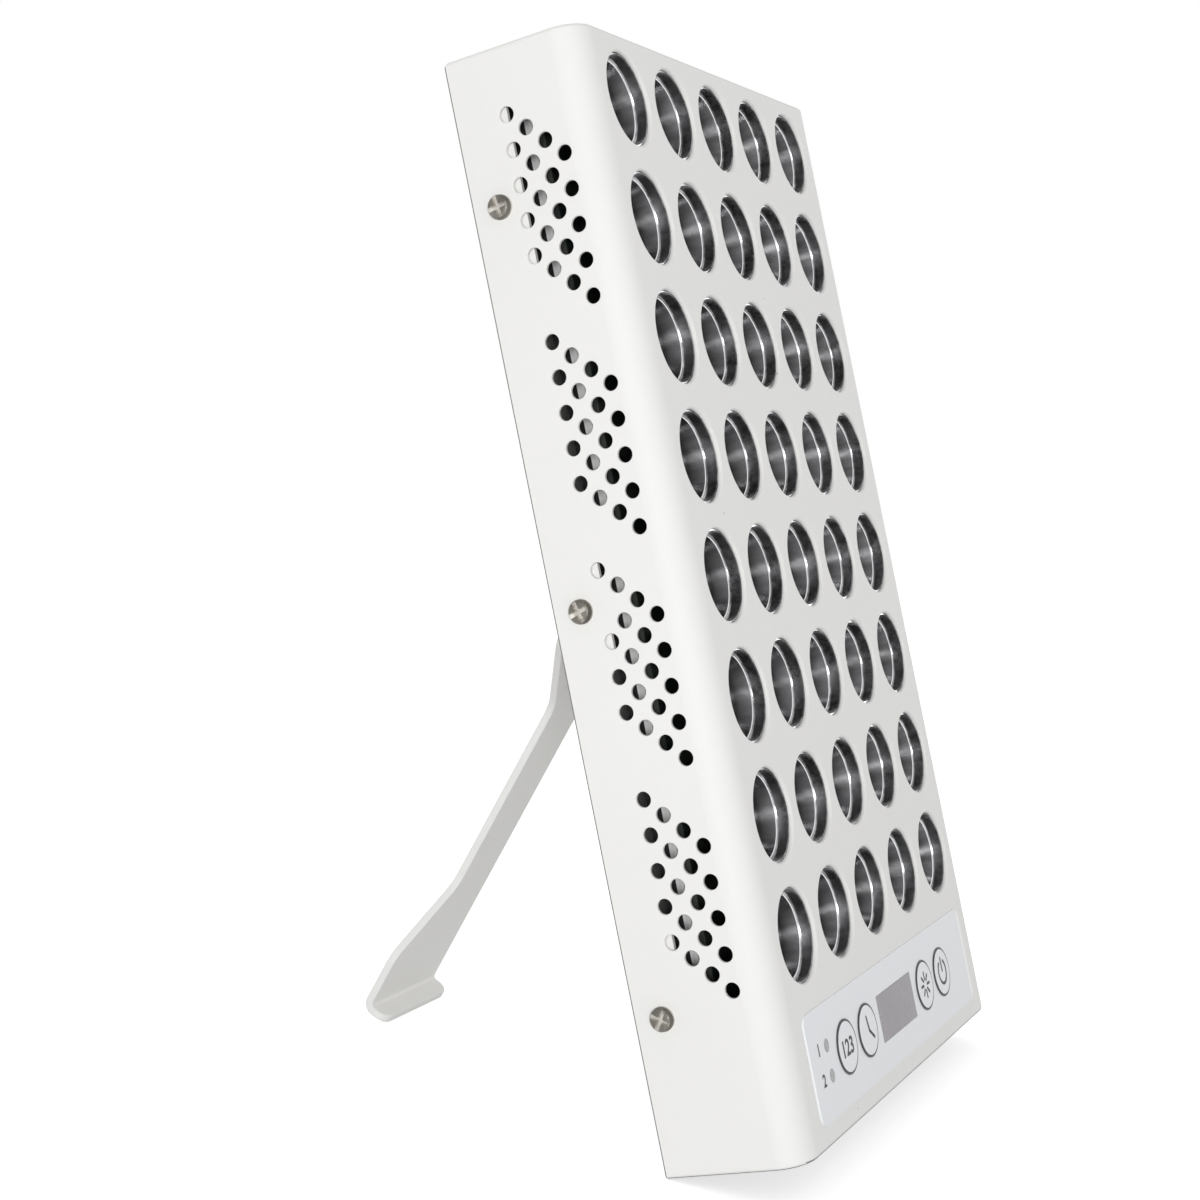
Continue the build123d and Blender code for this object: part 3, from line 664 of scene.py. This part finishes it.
def spun_profile(profile, segments):
    """A bmesh from a profile of (radius, height) points spun about Z."""
    mesh = bmesh.new()
    previous = None
    for radius, height in profile:
        vertex = mesh.verts.new((radius, 0, height))
        if previous is not None:
            mesh.edges.new((previous, vertex))
        previous = vertex
    bmesh.ops.spin(
        mesh, geom=mesh.verts[:] + mesh.edges[:], cent=(0, 0, 0), axis=(0, 0, 1),
        angle=math.tau, steps=segments, use_merge=True,
    )
    bmesh.ops.remove_doubles(mesh, verts=mesh.verts, dist=1e-7)
    bmesh.ops.recalc_face_normals(mesh, faces=mesh.faces)
    return mesh


def add_piece(target, piece, *matrices):
    """Adds a copy of a bmesh to another at each matrix, and frees it."""
    data = bpy.data.meshes.new("piece")
    piece.to_mesh(data)
    piece.free()
    for matrix in matrices:
        placed = data.copy()
        placed.transform(matrix)
        target.from_mesh(placed)
        bpy.data.meshes.remove(placed)
    bpy.data.meshes.remove(data)


def join_copies(mesh, matrices):
    """A bmesh that holds a copy of another at each matrix; the first is freed."""
    joined = bmesh.new()
    add_piece(joined, mesh, *matrices)
    return joined


def round_openings(mesh, width):
    """Rolls over the front edge of each light opening in the case's sheet."""
    opening_radius, slack = 15.15 * MM, 0.25 * MM
    square_edge = 1.4           # radians between faces; less is a seam in a flat face
    centres = island_centres("reflector_cups", OUT)

    def at_opening(vertex):
        if abs(vertex.co.dot(OUT) - CASE_FRONT) > 2 * TOUCH:
            return False
        away = (vertex.co - centre for centre in centres)
        return any(abs((line - OUT * line.dot(OUT)).length - opening_radius) < slack for line in away)

    edges = [
        edge for edge in mesh.edges
        if edge.calc_face_angle(0) > square_edge and at_opening(edge.verts[0]) and at_opening(edge.verts[1])
    ]
    bmesh.ops.bevel(
        mesh, geom=edges, offset=width, segments=4, profile=0.5, affect="EDGES", material=-1,
        clamp_overlap=False,
    )


def eased_copy(node, name, width, body, finish, rolled=0.0):
    """A copy of a sheet-metal node with the soft edges that its paint gives it."""
    mesh = bmesh.new()
    mesh.from_mesh(frame["nodes"][node].data)
    bmesh.ops.remove_doubles(mesh, verts=mesh.verts, dist=2e-6)
    bmesh.ops.dissolve_limit(
        mesh, angle_limit=math.radians(0.6), verts=mesh.verts, edges=mesh.edges, use_dissolve_boundaries=False
    )
    if rolled:
        round_openings(mesh, rolled)
    obj = object_from(mesh, name, smooth=False)
    bevel = obj.modifiers.new("paint_edge", "BEVEL")
    bevel.width = width
    bevel.segments = 2
    bevel.limit_method = "ANGLE"
    bevel.angle_limit = math.radians(50)
    bevel.use_clamp_overlap = False
    flatten = obj.modifiers.new("flat_faces", "WEIGHTED_NORMAL")
    flatten.mode = "FACE_AREA"
    flatten.weight = 100
    flatten.keep_sharp = True
    obj.data.shade_smooth()
    bpy.context.view_layer.update()
    bake_modifiers(obj)
    dress(obj, finish)
    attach(obj, body)
    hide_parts(node)
    return obj


# ---------------------------------------------------------------- operators
class LAMP_OT_painted_sheet(bpy.types.Operator):
    """Give the case, rear cover, bracket and leg their powder coat"""

    bl_idname = "lamp.painted_sheet"
    bl_label = "Painted sheet metal"

    def execute(self, context):
        edge = settings().paint.edge
        rolled = settings().paint.rolled_edge
        eased_copy("front_case", "painted_case", edge, "case", "enamel_shaded_edges", rolled)
        eased_copy("stand_leg", "painted_leg", 1.6 * edge, "leg", "white_enamel")
        for node in ("rear_cover", "hinge_bracket"):
            dress(frame["nodes"][node], "white_enamel")
        return {"FINISHED"}


class LAMP_OT_reflectors(bpy.types.Operator):
    """Spin the metallised cups and set one behind each opening"""

    bl_idname = "lamp.reflectors"
    bl_label = "Reflector cups"

    collar_radius: FloatProperty(
        name="Collar", description="Inside radius of the collar", default=14.6 * MM,
        subtype="DISTANCE", unit="LENGTH",
    )
    rim_radius: FloatProperty(
        name="Rim", description="Radius of the bowl's mouth", default=13.8 * MM,
        subtype="DISTANCE", unit="LENGTH",
    )
    rim_depth: FloatProperty(
        name="Rim depth", description="Depth of the rim behind the cup's front", default=3.7 * MM,
        subtype="DISTANCE", unit="LENGTH",
    )
    lip: FloatProperty(
        name="Lip", description="Size of the polished lip", default=0.22 * MM,
        subtype="DISTANCE", unit="LENGTH",
    )
    outer_radius: FloatProperty(
        name="Outside", description="Outside radius of the cup", default=15.6 * MM,
        subtype="DISTANCE", unit="LENGTH",
    )
    height: FloatProperty(
        name="Height", description="Front of the cup to its foot", default=21.8 * MM,
        subtype="DISTANCE", unit="LENGTH",
    )
    throat: FloatProperty(
        name="Throat", description="Radius of the bowl's foot", default=4.0 * MM,
        subtype="DISTANCE", unit="LENGTH",
    )
    bulge: FloatProperty(
        name="Bulge", description="Bulge of the bowl's arc out of its chord", default=1.9 * MM,
        subtype="DISTANCE", unit="LENGTH",
    )
    shoulder: FloatProperty(
        name="Shoulder", description="Length of the straight outside", default=10.0 * MM,
        subtype="DISTANCE", unit="LENGTH",
    )
    foot: FloatProperty(
        name="Foot", description="Outside radius at the foot", default=7.0 * MM,
        subtype="DISTANCE", unit="LENGTH",
    )

    def bowl_points(self, steps):
        """The bowl's arc from its mouth down to its throat."""
        mouth = Vector((self.rim_radius, -self.rim_depth))
        floor = Vector((self.throat, -self.height))
        chord = floor - mouth
        outward = Vector((-chord.y, chord.x)).normalized()
        half = chord.length / 2
        radius = (half * half + self.bulge * self.bulge) / (2 * self.bulge)
        centre = (mouth + floor) / 2 - outward * (radius - self.bulge)
        start = math.atan2(*(mouth - centre).yx)
        end = math.atan2(*(floor - centre).yx)
        return [
            centre + radius * Vector((math.cos(a), math.sin(a)))
            for a in (start + (end - start) * i / steps for i in range(1, steps))
        ]

    def execute(self, context):
        bowl, collar, rim, shell = range(4)
        lip = self.lip
        outline = [
            (self.outer_radius, 0.0),
            (self.collar_radius, 0.0),
            (self.collar_radius, -self.rim_depth),
            (self.rim_radius + lip, -self.rim_depth),
            (self.rim_radius, -self.rim_depth - lip),
        ]
        outline += [tuple(p) for p in self.bowl_points(14) if p.y < -self.rim_depth - 2 * lip]
        outline += [
            (self.throat, -self.height),
            (self.foot, -self.height),
            (self.outer_radius, -self.shoulder),
        ]
        outline.append(outline[0])
        mesh = spun_profile(outline, settings().reflector.segments)
        for face in mesh.faces:
            middle = face.calc_center_median()
            if face.normal.xy.dot(middle.xy) > 1e-9 or middle.z < -self.height + TOUCH:
                face.material_index = shell
            elif middle.z > -self.rim_depth + TOUCH:
                face.material_index = collar
            elif middle.z > -self.rim_depth - 0.9 * lip:
                face.material_index = rim
            else:
                face.material_index = bowl
        own_place = mesh.verts.layers.float_vector.new("cup_place")
        for vertex in mesh.verts:
            vertex[own_place] = vertex.co.copy()
        cup_front = span("reflector_cups", OUT)[1] - CASE_REAR
        places = [standing_on(*centre_of(points), cup_front) for points in solid_islands("reflector_cups")]
        cups = object_from(join_copies(mesh, places), "metallised_cups", sharp_from=20)
        dress(cups, "metallised_bowl", "metallised_collar", "polished_rim", "black_plastic")
        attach(cups, "case")
        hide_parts("reflector_cups")
        return {"FINISHED"}


def cross_cutter(radius, height):
    """A tapered cross that sinks into the top of a screw head."""
    slot_width, slot_depth = 0.38 * radius, 0.42 * height
    cross = bmesh.new()
    rings = []
    for z, reach, half in (
        (height - slot_depth, 0.55 * radius, 0.40 * slot_width),
        (height + slot_depth, 1.45 * radius, 0.60 * slot_width),
    ):
        corners = [
            Matrix.Rotation(math.radians(turn), 3, "Z") @ Vector((x, y, z))
            for turn in (0, 90, 180, 270)
            for x, y in ((reach, -half), (reach, half), (half, half))
        ]
        rings.append([cross.verts.new(corner) for corner in corners])
    floor, mouth = rings
    cross.faces.new(reversed(floor))
    cross.faces.new(mouth)
    for index in range(len(floor)):
        cross.faces.new((floor[index - 1], floor[index], mouth[index], mouth[index - 1]))
    return object_from(cross, "cross_cutter", smooth=False)


def profile_height(profile, away):
    """Height of a profile of (radius, height) points at a distance from its axis."""
    for (near, high), (far, low) in zip(profile, profile[1:]):
        if near <= away < far:
            return low + (far - away) / (far - near) * (high - low)
    return 0.0


def cross_head(radius, height, name):
    """One pan head with a cross recess, lying on local XY with its top along Z."""
    # faces of the recess take the slot of the painted highlight
    recess_face = 1
    rise = [
        (0.0, height), (0.35 * radius, 0.995 * height), (0.64 * radius, 0.96 * height),
        (0.83 * radius, 0.86 * height), (0.95 * radius, 0.62 * height), (radius, 0.30 * height),
        (radius, 0.0), (0.0, 0.0),
    ]
    head = object_from(spun_profile(rise, 40), name)
    cutter = cross_cutter(radius, height)
    modifier = head.modifiers.new("recess", "BOOLEAN")
    modifier.operation = "DIFFERENCE"
    modifier.solver = "EXACT"
    modifier.object = cutter
    bpy.context.view_layer.update()
    bake_modifiers(head)
    bpy.data.objects.remove(cutter)
    mesh = bmesh.new()
    mesh.from_mesh(head.data)
    bpy.data.objects.remove(head)
    for face in mesh.faces:
        middle = face.calc_center_median()
        if TOUCH < middle.z < profile_height(rise, middle.xy.length) - 0.05 * height:
            face.material_index = recess_face
    return mesh


class LAMP_OT_screws(bpy.types.Operator):
    """Model the cross-recessed screws of the sides and of the rear cover"""

    bl_idname = "lamp.screws"
    bl_label = "Screws"

    def make(self, node, name, facings, body="case"):
        """Replaces one CAD group of screws by heads with a cross recess and plain shanks."""
        islands = solid_islands(node)
        screws = [
            (facing, points) for facing in facings for points in islands
            if facing == max(facings, key=points[0].dot)
        ]
        made = bmesh.new()
        for index, (facing, points) in enumerate(screws):
            side = UP.cross(facing)
            sideways = [point.dot(side) for point in points]
            upward = [point.dot(UP) for point in points]
            along = [point.dot(facing) for point in points]
            middle = side * (min(sideways) + max(sideways)) / 2 + UP * (min(upward) + max(upward)) / 2
            away = [(point - facing * reach - middle).length for point, reach in zip(points, along)]
            radius = (max(upward) - min(upward)) / 2
            tip = min(along)
            seat = min(reach for reach, off in zip(along, away) if off > 0.97 * radius)
            shank = max(off for reach, off in zip(along, away) if reach < tip + 0.1 * TOUCH)
            head = cross_head(radius, max(along) - seat, f"{name}_head")
            shaft = spun_profile([(0.0, 0.0), (shank, 0.0), (shank, tip - seat), (0.0, tip - seat)], 24)
            turn = Matrix.Rotation(math.radians(17 + 41 * index), 4, "Z")
            basis = Matrix((side, UP, facing)).transposed().to_4x4()
            matrix = Matrix.Translation(middle + facing * seat) @ basis @ turn
            add_piece(made, head, matrix)
            add_piece(made, shaft, matrix)
        obj = object_from(made, name)
        # second slot: the recess, lighter as a painted highlight
        dress(obj, "plated_steel", "recess_painted_highlight")
        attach(obj, body)
        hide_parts(node)

    def execute(self, context):
        self.make("side_screws", "side_screw_heads", (-ACROSS, ACROSS))
        self.make("fan_screws", "fan_screw_heads", (-OUT,))
        self.make("driver_screws", "driver_screw_heads", (-OUT,))
        return {"FINISHED"}


class LAMP_OT_control_panel(bpy.types.Operator):
    """Finish the control strip: film, window, indicators, keys and their symbols"""

    bl_idname = "lamp.control_panel"
    bl_label = "Control strip"

    line: FloatProperty(
        name="Line", description="Width of the lines of the symbols", default=1.08 * MM,
        subtype="DISTANCE", unit="LENGTH",
    )

    def raised(self, mesh, name, node, body):
        """Lays flat symbol geometry on the face of a node and gives it its ink."""
        matrix = standing_on(*centre_of(node_points(node)), span(node, OUT)[1] - CASE_REAR)
        bmesh.ops.transform(mesh, matrix=matrix, verts=mesh.verts)
        obj = object_from(mesh, name, smooth=False)
        dress(obj, "screen_ink")
        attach(obj, body)
        return obj

    def bar(self, mesh, start, end, width, thickness):
        """A flat bar with rounded ends between two points."""
        start, end = Vector(start), Vector(end)
        along = end - start
        piece = bmesh.new()
        bmesh.ops.create_cube(piece, size=1.0)
        bmesh.ops.scale(piece, vec=(along.length + width, width, thickness), verts=piece.verts)
        corners = [
            edge for edge in piece.edges
            if abs((edge.verts[0].co - edge.verts[1].co).z) > thickness / 2
        ]
        bmesh.ops.bevel(
            piece, geom=corners, offset=0.45 * width, segments=4, profile=0.5, affect="EDGES", material=-1,
        )
        middle = Matrix.Translation((*((start + end) / 2), thickness / 2))
        add_piece(mesh, piece, middle @ Matrix.Rotation(math.atan2(along.y, along.x), 4, "Z"))

    def arc(self, mesh, radius, width, thickness, start, sweep):
        """A flat arc about the origin."""
        steps = max(12, int(64 * sweep / math.tau))
        inner, outer = radius - width / 2, radius + width / 2
        corners = [(inner, 0), (outer, 0), (outer, thickness), (inner, thickness)]
        verts = [mesh.verts.new((r * math.cos(start), r * math.sin(start), z)) for r, z in corners]
        face = mesh.faces.new(verts)
        bmesh.ops.spin(
            mesh, geom=[*verts, *face.edges, face], cent=(0, 0, 0), axis=(0, 0, 1), angle=sweep,
            steps=steps, use_merge=False,
        )

    def figure(self, text, height, thickness):
        """A short number as flat geometry, centred on the origin."""
        curve = bpy.data.curves.new("figure", "FONT")
        curve.body = text
        curve.size = height
        curve.extrude = thickness / 2
        curve.align_x = "CENTER"
        curve.align_y = "CENTER"
        curve.resolution_u = 4
        curve.offset = 0.022 * height
        holder = bpy.data.objects.new("figure", curve)
        bpy.context.scene.collection.objects.link(holder)
        bpy.context.view_layer.update()
        graph = bpy.context.evaluated_depsgraph_get()
        data = bpy.data.meshes.new_from_object(holder.evaluated_get(graph))
        mesh = bmesh.new()
        mesh.from_mesh(data)
        bmesh.ops.remove_doubles(mesh, verts=mesh.verts, dist=1e-7)
        bmesh.ops.translate(mesh, vec=(0, 0, thickness / 2), verts=mesh.verts)
        bpy.data.objects.remove(holder)
        bpy.data.curves.remove(curve)
        bpy.data.meshes.remove(data)
        return mesh

    def gap_shade_rings(self):
        """Black rings round each key: they fill the gap with painted shade and lap over the film as a thin
        dark outline.
        """
        film = (span("control_overlay", OUT)[1] - CASE_FRONT) / MM
        outline = [
            (8.28, 0.0), (8.28, film + 0.28), (8.36, film + 0.36), (8.78, film + 0.36), (8.92, film + 0.24),
            (8.92, film), (8.62, film), (8.62, 0.0), (8.28, 0.0),
        ]
        ring = spun_profile([(r * MM, z * MM) for r, z in outline], 72)
        places = [
            standing_on(*centre_of(node_points(f"{key}_button")), CASE_FRONT - CASE_REAR) for key in KEYS
        ]
        rings = object_from(join_copies(ring, places), "key_gap_shade_rings")
        dress(rings, "black_plastic")
        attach(rings, "case")

    def indicator_numbers(self, ink):
        """A number printed at the left of each indicator."""
        number_height, number_gap = 5.6 * MM, 7.3 * MM
        face = span("control_overlay", OUT)[1]
        centres = sorted(island_centres("indicator_pipes", OUT), key=lambda centre: centre.dot(UP))
        for number, centre in zip(("2", "1"), centres):
            mesh = self.figure(number, number_height, ink)
            matrix = standing_on(
                centre.dot(ACROSS) - number_gap, centre.dot(UP) - CASE_BOTTOM, face - CASE_REAR
            )
            bmesh.ops.transform(mesh, matrix=matrix, verts=mesh.verts)
            label = object_from(mesh, f"indicator_number_{number}", smooth=False)
            dress(label, "screen_ink")
            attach(label, "case")

    def execute(self, context):
        panel = settings().panel
        ink = panel.print_thickness
        tall = panel.symbol_height
        dress(frame["nodes"]["control_overlay"], "overlay_film")
        dress(frame["nodes"]["display_window"], "smoked_window")
        dress(frame["nodes"]["indicator_pipes"], "indicator_plastic")
        for key in KEYS:
            dress(frame["nodes"][f"{key}_button"], "button_plastic")

        clock = bmesh.new()
        elbow = (0.06 * tall, -0.04 * tall)
        self.bar(clock, (-0.06 * tall, 0.54 * tall), elbow, self.line, ink)
        self.bar(clock, elbow, (0.48 * tall, -0.38 * tall), 1.1 * self.line, ink)
        bmesh.ops.recalc_face_normals(clock, faces=clock.faces)
        self.raised(clock, "timer_symbol", "timer_button", "timer_key")

        sun = bmesh.new()
        for ray in range(8):
            angle = math.tau * ray / 8
            direction = Vector((math.cos(angle), math.sin(angle)))
            self.bar(sun, direction * 0.25 * tall, direction * 0.53 * tall, 0.92 * self.line, ink)
        bmesh.ops.recalc_face_normals(sun, faces=sun.faces)
        self.raised(sun, "brightness_symbol", "brightness_button", "brightness_key")

        power = bmesh.new()
        gap = math.radians(30)
        self.arc(power, 0.52 * tall, self.line, ink, math.pi / 2 + gap, math.tau - 2 * gap)
        self.bar(power, (0, 0.04 * tall), (0, 0.6 * tall), self.line, ink)
        bmesh.ops.recalc_face_normals(power, faces=power.faces)
        self.raised(power, "power_symbol", "power_button", "power_key")

        figures = self.figure("123", 0.92 * tall, ink)
        bmesh.ops.translate(figures, vec=(-0.07 * tall, -0.04 * tall, 0), verts=figures.verts)
        self.raised(figures, "mode_figures", "mode_button", "mode_key")
        self.gap_shade_rings()
        self.indicator_numbers(ink)
        return {"FINISHED"}


class LAMP_OT_inside(bpy.types.Operator):
    """Give the boards, heat sink, fans, driver and inlet their finishes"""

    bl_idname = "lamp.inside"
    bl_label = "Inside and rear"

    def execute(self, context):
        finishes = {
            "circuit_board": ("led_board", "control_board"),
            "led_die": ("led_emitters",),
            "anodised_heat_sink": ("heat_sink",),
            "bare_aluminium": ("led_driver",),
            "black_plastic": (
                "fan_frames", "lower_fan_rotor", "upper_fan_rotor", "power_inlet", "display_module",
                "tact_switches",
            ),
            "plated_steel": (
                "mounting_studs", "stud_nuts", "board_standoffs", "board_screws", "side_nuts", "hinge_rivets",
                "hinge_pin",
            ),
            "inlet_brass": ("inlet_contacts",),
        }
        for finish, nodes in finishes.items():
            for node in nodes:
                dress(frame["nodes"][node], finish)
        return {"FINISHED"}


# ---------------------------------------------------------------- stage
LENS = 63.69                                # millimetres, on a sensor 36 wide
EYE = (-0.6934, 0.1691, 0.30207)            # the camera's place, in the case's own frame
RIGHTWARD = (0.4296, -0.1960, 0.8815)       # its headings, in that frame
AHEAD = (0.9003, 0.0177, -0.4348)
MIDDLE = (0.0, 0.0, 0.18)                   # what most lights aim at


class LAMP_OT_stage(bpy.types.Operator):
    """Set the pale floor, the soft light and the camera"""

    bl_idname = "lamp.stage"
    bl_label = "Floor, light and camera"

    floor_size: FloatProperty(
        name="Floor", description="Length and width of the floor", default=14.0,
        subtype="DISTANCE", unit="LENGTH",
    )
    fill: FloatProperty(
        name="Fill", description="Level of the light from all sides", default=0.54, subtype="FACTOR",
    )
    floor_glow: FloatProperty(
        name="Floor glow", description="What lifts the floor to white for the eye", default=0.60,
        subtype="FACTOR",
    )

    def seen_directly(self, nodes):
        """One where a camera, glossy or transmission ray asks, and none for the light's own rays."""
        path = nodes.add("ShaderNodeLightPath").outputs
        first = nodes.math("MAXIMUM", path["Is Camera Ray"], path["Is Glossy Ray"])
        return nodes.math("MAXIMUM", first, path["Is Transmission Ray"])

    def floor(self):
        """A pale floor that reads as white round the lamp's own shadow."""
        mesh = bmesh.new()
        bmesh.ops.create_grid(mesh, x_segments=1, y_segments=1, size=self.floor_size / 2)
        obj = object_from(mesh, "floor", smooth=False)
        shader = Shader("floor_white")
        shader.set(
            Base_Color=shader.mix(shader.noise(3.0), (0.78, 0.78, 0.78), (0.80, 0.80, 0.80)),
            Roughness=0.9,
            Specular_IOR_Level=0.0,
        )
        level = shader.math("MULTIPLY", self.seen_directly(shader), self.floor_glow)
        glow = shader.add("ShaderNodeEmission", Strength=level)
        both = shader.add("ShaderNodeAddShader")
        shader.join(shader.surface.outputs[0], both.inputs[0])
        shader.join(glow.outputs[0], both.inputs[1])
        shader.join(both.outputs[0], shader.tree.nodes["Material Output"].inputs["Surface"])
        obj.data.materials.append(shader.material)
        return obj

    def world(self):
        """White to the eye and in reflections, a soft even fill for the rest."""
        world = bpy.data.worlds.new("studio")
        bpy.context.scene.world = world
        world.use_nodes = True
        nodes = Nodes(world.node_tree)
        back = world.node_tree.nodes["Background"]
        nodes.feed((1, 1, 1), back.inputs["Color"])
        nodes.feed(nodes.ramp(self.seen_directly(nodes), 0, 1, self.fill, 1.0), back.inputs["Strength"])

    def lamp(self, name, place_at, aim, size, power):
        """A soft light of a width and height, aimed at a point."""
        light = bpy.data.lights.new(name, "AREA")
        light.shape = "RECTANGLE"
        light.size, light.size_y = size
        light.energy = power
        obj = bpy.data.objects.new(name, light)
        bpy.context.scene.collection.objects.link(obj)
        obj.location = place_at
        obj.rotation_euler = (Vector(aim) - Vector(place_at)).to_track_quat("-Z", "Y").to_euler()

    def camera(self):
        """The camera: where it stands and looks, in the case's own frame."""
        data = bpy.data.cameras.new("camera")
        data.sensor_width = 36.0
        data.lens = LENS
        data.clip_start = 0.01
        obj = bpy.data.objects.new("camera", data)
        bpy.context.scene.collection.objects.link(obj)

        def heading(u, v, w):
            return (ACROSS * u + UP * v + OUT * w).normalized()

        right, ahead = heading(*RIGHTWARD), heading(*AHEAD)
        above = right.cross(ahead)
        turn = Matrix((right, above, -ahead)).transposed().to_4x4()
        obj.matrix_world = Matrix.Translation(place(*EYE)) @ turn
        bpy.context.scene.camera = obj

    def execute(self, context):
        self.floor()
        self.world()
        self.lamp("key", (-1.56, -0.69, 0.33), (-0.05, 0.05, 0.1), (0.45, 0.45), 13.5)
        self.lamp("strip", (1.79, -0.73, 0.8), MIDDLE, (0.22, 1.3), 5.0)
        self.lamp("back", (0.9, 2.0, 1.5), MIDDLE, (0.8, 0.8), 7.0)
        self.camera()
        bpy.context.scene.view_settings.view_transform = "Standard"
        return {"FINISHED"}


class LAMP_PT_panel(bpy.types.Panel):
    """Lamp building steps"""

    bl_label = "Light therapy lamp"
    bl_idname = "LAMP_PT_panel"
    bl_space_type = "VIEW_3D"
    bl_region_type = "UI"
    bl_category = "Lamp"

    def draw(self, context):
        layout = self.layout
        for operator in OPERATORS:
            layout.operator(operator.bl_idname)
        for group in (settings().paint, settings().reflector, settings().panel):
            box = layout.box()
            for name in group.bl_rna.properties.keys():
                if name not in ("rna_type", "name"):
                    box.prop(group, name)


OPERATORS = (
    LAMP_OT_stage,
    LAMP_OT_painted_sheet,
    LAMP_OT_reflectors,
    LAMP_OT_screws,
    LAMP_OT_control_panel,
    LAMP_OT_inside,
)
CLASSES = (LampPaint, LampReflector, LampPanel, LampSettings, *OPERATORS, LAMP_PT_panel)


def register():
    """Registers the classes and the lamp's settings."""
    for cls in CLASSES:
        bpy.utils.register_class(cls)
    bpy.types.Scene.lamp_settings = PointerProperty(type=LampSettings)


def unregister():
    """Removes the settings and the classes."""
    del bpy.types.Scene.lamp_settings
    for cls in reversed(CLASSES):
        bpy.utils.unregister_class(cls)


def main():
    """Builds the lamp and its stage."""
    register()
    for operator in OPERATORS:
        group, name = operator.bl_idname.split(".")
        getattr(getattr(bpy.ops, group), name)()


if __name__ == "__main__":
    main()
